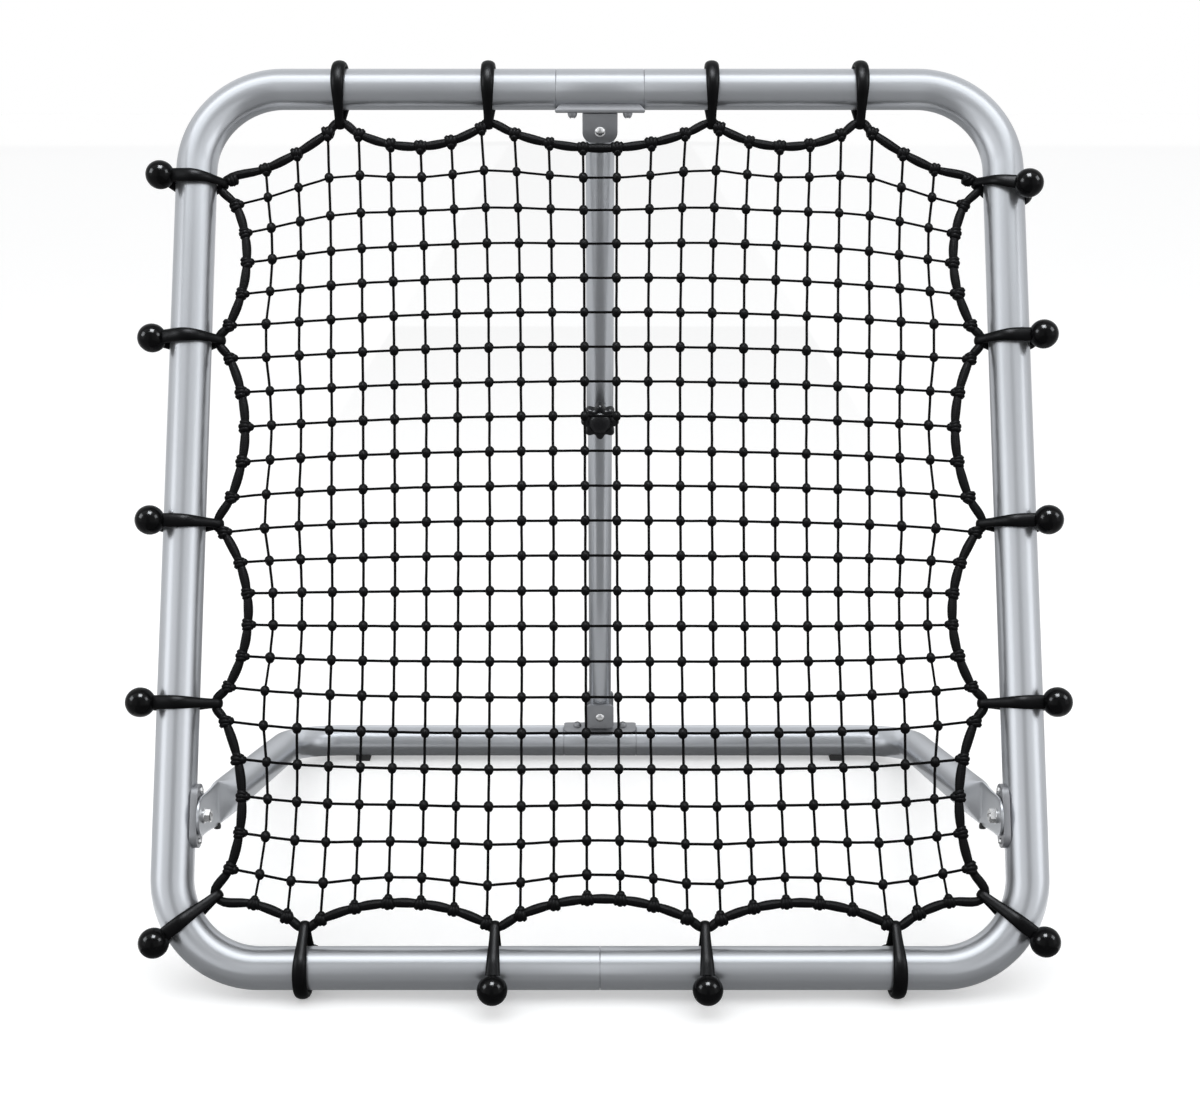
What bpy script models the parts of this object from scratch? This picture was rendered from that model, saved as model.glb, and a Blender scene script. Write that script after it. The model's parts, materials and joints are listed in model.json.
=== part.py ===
"""Rebound net: a leaning tube frame with a knotted net hung in it on ball bungees, a folding
stand of bent tube behind it, and a telescopic strut with a clamp knob that sets the lean.

Metres, +Z up, the net faces -Y. The origin is on the floor, in the middle of the footprint.
"""
import math
from collections import namedtuple

import bmesh
import bpy
import numpy as np
from mathutils import Vector

MM = 0.001

# Front frame
FRAME_TUBE = 38.0 * MM
FRAME_WALL = 1.5 * MM
FRAME_WIDTH = 762.0 * MM
FRAME_HEIGHT = 816.0 * MM
FRAME_BEND = 80.0 * MM
FRAME_LEAN = math.radians(26.0)
JOINT_INSERT = 45.0 * MM

# Stand behind the frame
STAND_TUBE = 35.0 * MM
STAND_WALL = 1.5 * MM
STAND_ARM = 452.0 * MM
STAND_BEND = 58.0 * MM
PIVOT_RISE = 133.0 * MM
TONGUE_THICKNESS = 3.0 * MM
TONGUE_END_RADIUS = 19.0 * MM
TONGUE_NOSE = 12.0 * MM
TONGUE_WIDTH = 41.0 * MM
TONGUE_LENGTH = 60.0 * MM
TONGUE_FADE = 50.0 * MM
TONGUE_SQUARENESS = 0.3
FOOT_THICKNESS = 3.0 * MM
FOOT_WRAP = 6.5 * MM
FOOT_LENGTH = 16.0 * MM
FOOT_DEPTH = 24.0 * MM
FOOT_SPACING = 550.0 * MM

# Saddle bracket between each upright and the stand's arm
SADDLE_LENGTH = 57.0 * MM
SADDLE_WIDTH = 25.0 * MM
SADDLE_THICKNESS = 3.5 * MM
SADDLE_WRAP = 3.0 * MM
PIVOT_SHANK = 8.0 * MM
PIVOT_HEAD_FLATS = 12.0 * MM
PIVOT_HEAD_HEIGHT = 5.5 * MM
PIVOT_HEAD_CHAMFER = 1.0 * MM
PIVOT_WASHER = 14.5 * MM
PIVOT_WASHER_THICKNESS = 1.6 * MM

# Swivel sleeves on the top bar and the rear bar, and the clevises under and over them
SLEEVE_LENGTH = 83.0 * MM
REAR_SPIGOT_WAIST = 22.0 * MM
UPPER_PAD_OVERHANG = 1.0 * MM
PAD_DEPTH = 34.0 * MM
PAD_LIP = 1.0 * MM
PAD_EDGE = 4.0 * MM
PAD_BEVEL = 4.0 * MM
EAR_THICKNESS = 2.5 * MM
EAR_CORNER = 9.0 * MM
UPPER_PAD_FACE = 20.5 * MM
UPPER_BOLT_DROP = 35.5 * MM
UPPER_EAR_REACH = 46.2 * MM
UPPER_EAR_WIDTH = 33.5 * MM
LOWER_PAD_FACE = 24.0 * MM
LOWER_BOLT_RISE = 43.0 * MM
LOWER_EAR_REACH = 59.0 * MM
LOWER_EAR_WIDTH = 31.0 * MM
LOWER_SADDLE_RADIUS = 21.0 * MM
LOWER_SADDLE_SPREAD = math.radians(40.0)
LOWER_BLOCK_DEPTH = 33.0 * MM
CLEVIS_SHANK = 6.0 * MM
CLEVIS_HEAD = 10.6 * MM
CLEVIS_HEAD_HEIGHT = 3.4 * MM
CLEVIS_NUT_FLATS = 10.0 * MM
CLEVIS_NUT_HEIGHT = 4.0 * MM
CLEVIS_BOLT_TAIL = 1.6 * MM

# Telescopic strut and its clamp
OUTER_STRUT = 28.0 * MM
OUTER_STRUT_WALL = 1.2 * MM
OUTER_STRUT_END = 352.0 * MM
INNER_STRUT = 25.0 * MM
INNER_STRUT_WALL = 1.2 * MM
INNER_STRUT_INSERT = 170.0 * MM
STRUT_END_GAP = 3.0 * MM
CLAMP_DROP = 331.0 * MM
CLAMP_BOSS = 17.0 * MM
CLAMP_BOSS_HEIGHT = 9.0 * MM
CLAMP_BOSS_BEVEL = 1.0 * MM
CLAMP_SCREW = 8.0 * MM
KNOB_DIAMETER = 39.0 * MM
KNOB_LOBES = 8
KNOB_LOBE_DEPTH = 4.2 * MM
KNOB_THICKNESS = 13.0 * MM
KNOB_EDGE = 3.0 * MM
KNOB_CAP = 21.0 * MM
KNOB_CAP_RISE = 4.0 * MM

# Net, border rope and bungees
NET_COLUMNS = 22
NET_ROWS = 21
CORD = 2.4 * MM
ROPE = 8.0 * MM
SIDE_ROPE_PULL = 3.7
TOP_ROPE_PULL = 6.5
TOP_SLACK_PULL = 4.1
TOP_INNER_MARK = 8.25
TOP_OUTER_MARK = 3.4
BOTTOM_ROPE_PULL = 5.7
BALL = 25.0 * MM
BALL_REACH = 35.0 * MM
STRAP_THICKNESS = 6.0 * MM
STRAP_WIDTH = 13.5 * MM
STRAP_END_THICKNESS = 4.5 * MM
STRAP_END_WIDTH = 8.5 * MM
TOP_ROPE_DROP = 32.5 * MM
BOTTOM_ROPE_RISE = 34.0 * MM
SIDE_UPPER_ROPE_INSET = 25.3 * MM
SIDE_MIDDLE_ROPE_INSET = 29.0 * MM
SIDE_LOWER_ROPE_INSET = 33.0 * MM
TOP_CORNER_ROPE_INSET = 23.6 * MM
TOP_CORNER_ROPE_DROP = 94.0 * MM
TOP_CORNER_STRAP_DROP = 94.0 * MM
BOTTOM_CORNER_ROPE_INSET = 39.0 * MM
BOTTOM_CORNER_ROPE_RISE = 62.0 * MM
BOTTOM_CORNER_STRAP_INSET = 11.0 * MM
BOTTOM_CORNER_STRAP_RISE = 39.4 * MM

# Clearances
GAP = 0.3 * MM
STRAP_GAP = 0.5 * MM
HOLE_GAP = 0.3 * MM

# Facets
TUBE_SIDES = 12
BOLT_SIDES = 12
CUTTER_SIDES = 24
BEND_STEPS = 4
ROPE_SIDES = 4
KNOB_SIDES_PER_LOBE = 3
STRAP_TUBE_FACETS = 8
STRAP_ROPE_FACETS = 6
BALL_SIDES = 8
BALL_RINGS = 5
SADDLE_FACETS = 5
SMOOTH_ANGLE = math.radians(35)

# Bungees, as the name, the hooking place as a share of the bar, how far the rope hangs from the
# bar's centre, its place along the net in meshes, and the left and right ball's roll to the front
TOP_TIES = (
    ("top_inner", 0.278, TOP_ROPE_DROP, TOP_INNER_MARK, (-64.0, -64.0)),
    ("top_outer", 0.648, TOP_ROPE_DROP, TOP_OUTER_MARK, (-64.0, -64.0)),
)
SIDE_TIES = (
    ("side_upper", 0.699, SIDE_UPPER_ROPE_INSET, 5.46, (2.0, 28.0)),
    ("side_middle", 0.487, SIDE_MIDDLE_ROPE_INSET, 10.72, (26.0, 31.0)),
    ("side_lower", 0.286, SIDE_LOWER_ROPE_INSET, 16.54, (12.0, 4.0)),
)
BOTTOM_TIES = (
    ("bottom_inner", 0.245, BOTTOM_ROPE_RISE, 8.36, (64.0, 64.0)),
    ("bottom_outer", 0.688, BOTTOM_ROPE_RISE, 2.66, (-94.0, -94.0)),
)
# The corner bungees' balls, and where they catch the rope, in meshes beyond the first row or column
TOP_CORNER_ROLL = (4.0, 40.0)
BOTTOM_CORNER_ROLL = (40.0, 40.0)
TOP_CORNER_COLUMN = -0.4
TOP_CORNER_ROW = 0.18
BOTTOM_CORNER_COLUMN = -0.12
BOTTOM_CORNER_ROW = 21.82
# How far the net hangs to the right at the bottom, in meshes, and the pull of the short last cords
BOTTOM_SHIFT = -0.12
LAST_CORD_PULL = 1.27

# Places that follow from the sizes
TUBE_RADIUS = FRAME_TUBE / 2
STAND_RADIUS = STAND_TUBE / 2
HALF_WIDTH = FRAME_WIDTH / 2
BAR_HEIGHT = TUBE_RADIUS + STRAP_GAP + STRAP_THICKNESS
REAR_HEIGHT = STAND_RADIUS + GAP + FOOT_THICKNESS
PIVOT_Y = PIVOT_RISE * math.sin(FRAME_LEAN)
PIVOT_Z = BAR_HEIGHT + PIVOT_RISE * math.cos(FRAME_LEAN)
REAR_Y = PIVOT_Y + math.sqrt(STAND_ARM ** 2 - (PIVOT_Z - REAR_HEIGHT) ** 2)
TOP_Y = FRAME_HEIGHT * math.sin(FRAME_LEAN)
TOP_Z = BAR_HEIGHT + FRAME_HEIGHT * math.cos(FRAME_LEAN)
STAND_TILT = math.atan2(REAR_HEIGHT - PIVOT_Z, REAR_Y - PIVOT_Y)
STRUT_TILT = math.atan2(REAR_Y - TOP_Y, TOP_Z - REAR_HEIGHT)
STRUT_LENGTH = math.hypot(REAR_Y - TOP_Y, TOP_Z - REAR_HEIGHT)
FRONT_EDGE = -(BALL_REACH + BALL / 2)
REAR_EDGE = REAR_Y + STAND_RADIUS
CENTRE_Y = (FRONT_EDGE + REAR_EDGE) / 2
SLEEVE_SEAM = SLEEVE_LENGTH / 2 + GAP
FRAME_BORE = TUBE_RADIUS - FRAME_WALL
STAND_BORE = STAND_RADIUS - STAND_WALL
SADDLE_FACE = HALF_WIDTH - TUBE_RADIUS - GAP - SADDLE_THICKNESS
ARM_X = SADDLE_FACE - GAP - TONGUE_THICKNESS / 2

# The two bars that the strut joins, in its own frame
TOP_BAR = Vector((0, 0, 0))
REAR_BAR = Vector((0, 0, -STRUT_LENGTH))

AXIS_X = Vector((1, 0, 0))
AXIS_Y = Vector((0, 1, 0))
AXIS_Z = Vector((0, 0, 1))


def finish_material(name, colour, roughness, metallic):
    made = bpy.data.materials.new(name)
    made.use_nodes = True
    shader = made.node_tree.nodes["Principled BSDF"]
    shader.inputs["Base Color"].default_value = (*colour, 1.0)
    shader.inputs["Roughness"].default_value = roughness
    shader.inputs["Metallic"].default_value = metallic
    return made


def make_materials():
    return {
        "silver_paint": finish_material("silver_paint", (0.60, 0.61, 0.63), 0.32, 0.75),
        "grey_casting": finish_material("grey_casting", (0.42, 0.43, 0.45), 0.40, 0.80),
        "bright_steel": finish_material("bright_steel", (0.72, 0.72, 0.72), 0.22, 1.00),
        "black_knob": finish_material("black_knob", (0.020, 0.020, 0.022), 0.38, 0.0),
        "black_ball": finish_material("black_ball", (0.012, 0.012, 0.013), 0.12, 0.0),
        "black_rubber": finish_material("black_rubber", (0.022, 0.022, 0.024), 0.45, 0.0),
        "black_rope": finish_material("black_rope", (0.030, 0.030, 0.032), 0.60, 0.0),
        "black_cord": finish_material("black_cord", (0.018, 0.018, 0.019), 0.65, 0.0),
    }


def empty(name, place, tilt, parent=None):
    """A pivot that carries a group of pieces, turned about X."""
    made = bpy.data.objects.new(name, None)
    bpy.context.collection.objects.link(made)
    made.location = place
    made.rotation_euler = (tilt, 0, 0)
    made.parent = parent
    return made


def mesh_object(name, bm, material, parent):
    """Turn a closed bmesh into a named object with outward faces."""
    bmesh.ops.recalc_face_normals(bm, faces=bm.faces)
    mesh = bpy.data.meshes.new(name)
    bm.to_mesh(mesh)
    bm.free()
    mesh.shade_smooth()
    mesh.set_sharp_from_angle(angle=SMOOTH_ANGLE)
    made = bpy.data.objects.new(name, mesh)
    bpy.context.collection.objects.link(made)
    made.parent = parent
    if material:
        mesh.materials.append(material)
    return made


def loft(name, rings, material, parent, cyclic=False):
    """Skin a row of rings that have equally many points, with capped ends unless cyclic."""
    bm = bmesh.new()
    rows = [[bm.verts.new(point) for point in ring] for ring in rings]
    pairs = list(zip(rows, rows[1:]))
    if cyclic:
        pairs.append((rows[-1], rows[0]))
    else:
        bm.faces.new(rows[0])
        bm.faces.new(rows[-1])
    for near, far in pairs:
        for side in range(len(near)):
            after = (side + 1) % len(near)
            bm.faces.new((near[side], near[after], far[after], far[side]))
    return mesh_object(name, bm, material, parent)


def ease(share):
    """Smooth step from 0 to 1."""
    return share * share * (3 - 2 * share)


def oval_ring(place, heading, normal, half_side, half_normal, fullness=1.0, sides=TUBE_SIDES):
    """A ring across a heading. A fullness under 1 flattens its broad faces."""
    side = heading.cross(normal)
    ring = []
    for step in range(sides):
        angle = math.tau * (step + 0.5) / sides
        across = math.copysign(abs(math.cos(angle)) ** fullness, math.cos(angle))
        ring.append(place + side * half_side * across + normal * half_normal * math.sin(angle))
    return ring


def filleted_path(corners, radius, steps=BEND_STEPS):
    """Stations (place, heading) along straight runs that are joined by round bends."""
    stations = [(corners[0], (corners[1] - corners[0]).normalized())]
    for before, corner, after in zip(corners, corners[1:], corners[2:]):
        coming = (corner - before).normalized()
        going = (after - corner).normalized()
        turn = coming.angle(going)
        inward = (going - coming * math.cos(turn)).normalized()
        centre = corner - coming * radius * math.tan(turn / 2) + inward * radius
        for step in range(steps + 1):
            angle = turn * step / steps
            place = centre + (coming * math.sin(angle) - inward * math.cos(angle)) * radius
            stations.append((place, coming * math.cos(angle) + inward * math.sin(angle)))
    stations.append((corners[-1], (corners[-1] - corners[-2]).normalized()))
    return stations


def turned(name, profile, start, axis, material, parent, sides=BOLT_SIDES, flats=()):
    """Revolve (distance, radius) pairs about an axis. The rows listed in flats are hexagons."""
    across = axis.orthogonal().normalized()
    other = axis.cross(across)
    rings = []
    for row, (distance, radius) in enumerate(profile):
        ring = []
        for step in range(sides):
            angle = math.tau * step / sides
            reach = radius
            if row in flats:
                reach /= math.cos(math.fmod(angle + math.pi / 6, math.pi / 3) - math.pi / 6)
            ring.append(start + axis * distance
                        + (across * math.cos(angle) + other * math.sin(angle)) * reach)
        rings.append(ring)
    return loft(name, rings, material, parent)


def extruded(name, outline, start, axis, depth, material, parent):
    """Extrude a closed outline, given as places, along an axis from start."""
    rings = [[point + start + axis * reach for point in outline] for reach in (0.0, depth)]
    return loft(name, rings, material, parent)


def cylinder_cutter(name, place, axis, radius, length, parent, sides=CUTTER_SIDES):
    """A hidden rod that a Boolean takes away."""
    tool = turned(name, ((-length / 2, radius), (length / 2, radius)), place, axis, None, parent,
                  sides)
    tool.hide_render = True
    tool.display_type = "WIRE"
    return tool


def boolean(target, tool, operation="DIFFERENCE"):
    modifier = target.modifiers.new(tool.name, "BOOLEAN")
    modifier.operation = operation
    modifier.solver = "EXACT"
    modifier.object = tool
    tool.hide_render = True
    tool.display_type = "WIRE"


def straight_tube(name, place, axis, near, far, outer, inner, material, parent):
    """An open tube between two distances along an axis."""
    normal = AXIS_Y if abs(axis.y) < 0.5 else AXIS_Z
    rings = [oval_ring(place + axis * near, axis, normal, outer, outer),
             oval_ring(place + axis * far, axis, normal, outer, outer),
             oval_ring(place + axis * far, axis, normal, inner, inner),
             oval_ring(place + axis * near, axis, normal, inner, inner)]
    return loft(name, rings, material, parent, cyclic=True)


def frame_half(side_name, side, material, parent):
    """One C-shaped half of the front frame. The right half's lower end is swaged to plug
    into the left half."""
    corners = [Vector((side * SLEEVE_SEAM, 0, FRAME_HEIGHT)),
               Vector((side * HALF_WIDTH, 0, FRAME_HEIGHT)),
               Vector((side * HALF_WIDTH, 0, 0)), Vector((side * GAP / 2, 0, 0))]
    stations = filleted_path(corners, FRAME_BEND)
    bore = FRAME_BORE
    outer = [oval_ring(place, heading, AXIS_Y, TUBE_RADIUS, TUBE_RADIUS)
             for place, heading in stations]
    inner = [oval_ring(place, heading, AXIS_Y, bore, bore) for place, heading in stations]
    if side > 0:
        seam, heading = stations[-1]
        swage = bore - GAP
        tip = seam + heading * JOINT_INSERT
        outer += [oval_ring(place, heading, AXIS_Y, swage, swage) for place in (seam, tip)]
        inner[-1] = oval_ring(seam - heading * FRAME_WALL * 2, heading, AXIS_Y, bore, bore)
        inner += [oval_ring(place, heading, AXIS_Y, swage - FRAME_WALL, swage - FRAME_WALL)
                  for place in (seam, tip)]
    return loft(f"frame_{side_name}_half", outer + inner[::-1], material, parent, cyclic=True)


def tongue_sections():
    """The arm's flattened front end, as (distance from the pivot, half thickness, half width,
    squareness), outside and inside the tube. It ends round, widens and then swells to the tube."""
    half_flat = TONGUE_THICKNESS / 2
    half_wide = TONGUE_WIDTH / 2
    outer = []
    for degrees in (-82, -55, -25, 0):
        angle = math.radians(degrees)
        outer.append((TONGUE_END_RADIUS * math.sin(angle), half_flat,
                      TONGUE_END_RADIUS * math.cos(angle), TONGUE_SQUARENESS))
    for share in (0.0, 0.7):
        outer.append((TONGUE_NOSE + (TONGUE_LENGTH - TONGUE_NOSE) * share, half_flat,
                      TONGUE_END_RADIUS + (half_wide - TONGUE_END_RADIUS) * ease(share),
                      TONGUE_SQUARENESS))
    inner = []
    for fade in (0.0, 0.35, 0.7, 1.0):
        swell = ease(fade)
        thick = half_flat + (STAND_RADIUS - half_flat) * swell
        wide = half_wide + (STAND_RADIUS - half_wide) * swell
        squareness = TONGUE_SQUARENESS + (1 - TONGUE_SQUARENESS) * swell
        reach = TONGUE_LENGTH + TONGUE_FADE * fade
        outer.append((reach, thick, wide, squareness))
        if fade:
            inner.append((reach, thick - STAND_WALL, wide - STAND_WALL, squareness))
    first_reach, first_thick, first_wide, _ = inner[0]
    inner.insert(0, ((TONGUE_LENGTH + first_reach) / 2, first_thick / 3, first_wide,
                     TONGUE_SQUARENESS))
    return outer, inner


def stand_half(side_name, side, material, parent):
    """One L-shaped half of the stand, from its flattened tongue to the rear seam."""
    corner = Vector((side * ARM_X, STAND_ARM, 0))
    seam = Vector((side * SLEEVE_SEAM, STAND_ARM, 0))
    bend = filleted_path([Vector((side * ARM_X, 0, 0)), corner, seam], STAND_BEND)[1:]
    outer_flat, inner_flat = tongue_sections()

    def wall(sections, radius):
        rings = [oval_ring(Vector((side * ARM_X, reach, 0)), AXIS_Y, AXIS_Z, thick, wide, full)
                 for reach, thick, wide, full in sections]
        rings += [oval_ring(place, heading, AXIS_Z, radius, radius) for place, heading in bend]
        return rings

    rings = wall(outer_flat, STAND_RADIUS) + wall(inner_flat, STAND_BORE)[::-1]
    made = loft(f"stand_{side_name}_half", rings, material, parent)
    boolean(made, cylinder_cutter(f"cut_tongue_{side_name}", Vector((side * ARM_X, 0, 0)), AXIS_X,
                                  PIVOT_SHANK / 2 + HOLE_GAP, PIVOT_SHANK * 2, parent))
    return made


def side_bracket(side_name, side, material, parent):
    """The oval pad that hugs the upright's inner side and carries the arm's pivot."""
    cap_radius = SADDLE_WIDTH / 2
    run = SADDLE_LENGTH / 2 - cap_radius
    outline = []
    for step in range(-4, 5):
        angle = math.pi * step / 8
        outline.append(Vector((0, cap_radius * math.sin(angle), run + cap_radius * math.cos(angle))))
    outline += [Vector((0, -point.y, -point.z)) for point in outline]
    start = Vector((side * SADDLE_FACE, 0, PIVOT_RISE))
    depth = SADDLE_THICKNESS + SADDLE_WRAP
    made = extruded(f"side_bracket_{side_name}", outline, start, AXIS_X * side, depth, material,
                    parent)
    boolean(made, cylinder_cutter(f"cut_upright_{side_name}",
                                  Vector((side * HALF_WIDTH, 0, PIVOT_RISE)), AXIS_Z,
                                  TUBE_RADIUS + GAP, SADDLE_LENGTH * 2, parent))
    boolean(made, cylinder_cutter(f"cut_pivot_{side_name}", start, AXIS_X,
                                  PIVOT_SHANK / 2 + HOLE_GAP, depth * 2, parent))
    return made


def pivot_bolt(side_name, side, material, parent):
    """Hex bolt and washer that hold the arm's tongue against the saddle bracket."""
    washer_back = TONGUE_THICKNESS / 2 + GAP
    head_back = washer_back + PIVOT_WASHER_THICKNESS
    head_top = head_back + PIVOT_HEAD_HEIGHT
    shank_end = -(TONGUE_THICKNESS / 2 + SADDLE_THICKNESS)
    shank = PIVOT_SHANK / 2
    head = PIVOT_HEAD_FLATS / 2
    profile = ((shank_end, shank), (washer_back, shank), (washer_back, PIVOT_WASHER / 2),
               (head_back, PIVOT_WASHER / 2), (head_back, head),
               (head_top - PIVOT_HEAD_CHAMFER, head), (head_top, head - PIVOT_HEAD_CHAMFER))
    return turned(f"pivot_bolt_{side_name}", profile, Vector((side * ARM_X, 0, 0)),
                  AXIS_X * -side, material, parent, flats=(4, 5))


def rear_foot(side_name, side, material, parent):
    """Rubber pad under the rear bar, level with the floor, with a saddle for the tube."""
    half = FOOT_DEPTH / 2
    top = FOOT_WRAP - STAND_RADIUS
    outline = [Vector((0, -half, -REAR_HEIGHT)), Vector((0, half, -REAR_HEIGHT)),
               Vector((0, half, top)), Vector((0, -half, top))]
    made = extruded(f"foot_{side_name}", outline, Vector((-FOOT_LENGTH / 2, 0, 0)), AXIS_X,
                    FOOT_LENGTH, material, parent)
    made.location = (side * FOOT_SPACING / 2, STAND_ARM, 0)
    made.rotation_euler = (-STAND_TILT, 0, 0)
    tool = cylinder_cutter(f"cut_foot_{side_name}",
                           Vector((side * FOOT_SPACING / 2, STAND_ARM, 0)), AXIS_X,
                           STAND_RADIUS + GAP, FOOT_LENGTH * 2, parent)
    boolean(made, tool)
    return made


def top_spigot(material, parent):
    """Inner tube that joins the frame's halves and turns in the swivel sleeve."""
    outer = FRAME_BORE - GAP
    end = SLEEVE_SEAM + JOINT_INSERT
    return straight_tube("top_spigot", AXIS_Z * FRAME_HEIGHT, AXIS_X, -end, end, outer,
                         outer - FRAME_WALL, material, parent)


def swivel_sleeve(name, bar, outer, bore, material, parent):
    """Short tube level with the bar, bored so that the faceted spigot turns in it."""
    turning_bore = bore / math.cos(math.pi / TUBE_SIDES)
    return straight_tube(name, bar, AXIS_X, -SLEEVE_LENGTH / 2, SLEEVE_LENGTH / 2, outer,
                         turning_bore, material, parent)


def rear_spigot(material, parent):
    """Stepped rod that joins the stand's halves. Its waist leaves the swivel sleeve free."""
    grip = STAND_BORE - GAP
    waist = REAR_SPIGOT_WAIST / 2
    end = SLEEVE_SEAM + JOINT_INSERT
    steps = ((-end, grip), (-SLEEVE_SEAM, grip), (-SLEEVE_SEAM, waist), (SLEEVE_SEAM, waist),
             (SLEEVE_SEAM, grip), (end, grip))
    rings = [oval_ring(Vector((across, STAND_ARM, 0)), AXIS_X, AXIS_Z, radius, radius)
             for across, radius in steps]
    return loft("rear_spigot", rings, material, parent)


def bevelled_pad(name, bar, away, length, depth, face, material, parent):
    """A flat pad with a small lip at its face and a bevel behind, square to a bar."""
    rings = []
    for distance, inset in ((face, PAD_LIP), (face - PAD_LIP, 0.0), (face - PAD_EDGE, 0.0),
                            (face - PAD_EDGE - PAD_BEVEL, PAD_BEVEL)):
        rings.append([bar + away * distance + AXIS_X * x * (length / 2 - inset)
                      + AXIS_Y * y * (depth / 2 - inset)
                      for x, y in ((-1, -1), (1, -1), (1, 1), (-1, 1))])
    return loft(name, rings, material, parent)


def curved_saddle(name, bar, away, length, radius, spread, material, parent):
    """A shell's blank that lies along a bar and spreads round it to both sides."""
    arc = [away * radius * math.cos(angle) + AXIS_Y * radius * math.sin(angle)
           for angle in np.linspace(-spread, spread, SADDLE_FACETS + 1)]
    inner = [point / 2 for point in (arc[-1], arc[0])]
    return extruded(name, arc + inner, bar - AXIS_X * length / 2, AXIS_X, length, material, parent)


def clevis(made, bar, away, bar_radius, pad, ear, bolt, tube, parent):
    """Give a pad that hugs a swivel sleeve two ears that straddle the strut.

    The pad is its length and its face's distance from the bar's centre, the ear its width and
    reach, and the bolt its distance."""
    name = made.name
    pad_length, pad_face = pad
    width, reach = ear
    outline = [AXIS_X * (-width / 2) + away * (pad_face - PAD_EDGE / 2),
               AXIS_X * (width / 2) + away * (pad_face - PAD_EDGE / 2)]
    for side in (1, -1):
        corner = AXIS_X * side * (width / 2 - EAR_CORNER) + away * (reach - EAR_CORNER)
        turn = [corner + AXIS_X * side * EAR_CORNER * math.cos(step * math.pi / 8)
                + away * EAR_CORNER * math.sin(step * math.pi / 8) for step in range(5)]
        outline += turn if side > 0 else turn[::-1]
    inside = tube / 2 + GAP
    for word, start in (("front", -inside - EAR_THICKNESS), ("back", inside)):
        boolean(made, extruded(f"{name}_{word}_ear", outline, bar + AXIS_Y * start, AXIS_Y,
                               EAR_THICKNESS, None, parent), "UNION")
    boolean(made, cylinder_cutter(f"cut_{name}_sleeve", bar, AXIS_X, bar_radius + GAP,
                                  pad_length * 2, parent))
    boolean(made, cylinder_cutter(f"cut_{name}_bolt", bar + away * bolt, AXIS_Y,
                                  CLEVIS_SHANK / 2 + HOLE_GAP, PAD_DEPTH * 2, parent, BOLT_SIDES))
    return made


def clevis_bolt(name, place, tube, material, parent):
    """Dome-headed bolt through a clevis and the strut, with its nut behind."""
    face = tube / 2 + GAP + EAR_THICKNESS + GAP
    shank = CLEVIS_SHANK / 2
    nut = CLEVIS_NUT_FLATS / 2
    nut_top = face + CLEVIS_NUT_HEIGHT
    profile = []
    for degrees in (20, 55, 90):
        angle = math.radians(degrees)
        profile.append((-face - CLEVIS_HEAD_HEIGHT * math.cos(angle),
                        CLEVIS_HEAD / 2 * math.sin(angle)))
    profile += [(-face, shank), (face, shank), (face, nut), (nut_top, nut), (nut_top, shank),
                (nut_top + CLEVIS_BOLT_TAIL, shank)]
    return turned(name, profile, place, AXIS_Y, material, parent, flats=(5, 6))


def clamp_boss(material, parent):
    """Threaded boss welded on the outer tube, which the knob's screw runs through."""
    place = Vector((0, 0, -CLAMP_DROP))
    face = OUTER_STRUT / 2 + CLAMP_BOSS_HEIGHT
    radius = CLAMP_BOSS / 2
    profile = ((0.0, radius), (face - CLAMP_BOSS_BEVEL, radius), (face, radius - CLAMP_BOSS_BEVEL))
    made = turned("clamp_boss", profile, place, -AXIS_Y, material, parent, TUBE_SIDES)
    boolean(made, cylinder_cutter("cut_boss_tube", place, AXIS_Z, OUTER_STRUT / 2 + GAP,
                                  CLAMP_BOSS * 2, parent))
    boolean(made, cylinder_cutter("cut_boss_screw", place, AXIS_Y, CLAMP_SCREW / 2 + HOLE_GAP,
                                  face * 3, parent, BOLT_SIDES))
    return made


def clamp_knob(material, parent):
    """Lobed knob with a domed cap and its moulded-in screw, about its own axis."""
    sides = KNOB_LOBES * KNOB_SIDES_PER_LOBE
    seat = OUTER_STRUT / 2 + CLAMP_BOSS_HEIGHT + GAP
    front = seat + KNOB_THICKNESS
    screw_end = INNER_STRUT / 2 + GAP
    outer = KNOB_DIAMETER / 2
    cap = KNOB_CAP / 2
    screw = CLAMP_SCREW / 2
    profile = [(screw_end, screw, 0), (seat, screw, 0), (seat, cap, 0),
               (seat + KNOB_EDGE, outer - KNOB_EDGE, 1), (seat + KNOB_EDGE * 2, outer, 1),
               (front - KNOB_EDGE, outer, 1), (front, outer - KNOB_EDGE, 1), (front, cap, 0)]
    for degrees in (40, 75):
        angle = math.radians(degrees)
        profile.append((front + KNOB_CAP_RISE * math.sin(angle), cap * math.cos(angle), 0))
    rings = []
    for distance, radius, lobed in profile:
        ring = []
        for step in range(sides):
            angle = math.tau * step / sides
            reach = radius - lobed * KNOB_LOBE_DEPTH * (1 - math.cos(KNOB_LOBES * angle)) / 2
            ring.append(Vector((reach * math.cos(angle), -distance, reach * math.sin(angle))))
        rings.append(ring)
    return loft("clamp_knob", rings, material, parent)


Hook = namedtuple("Hook", "name key rope crossing tangent roll")


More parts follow.
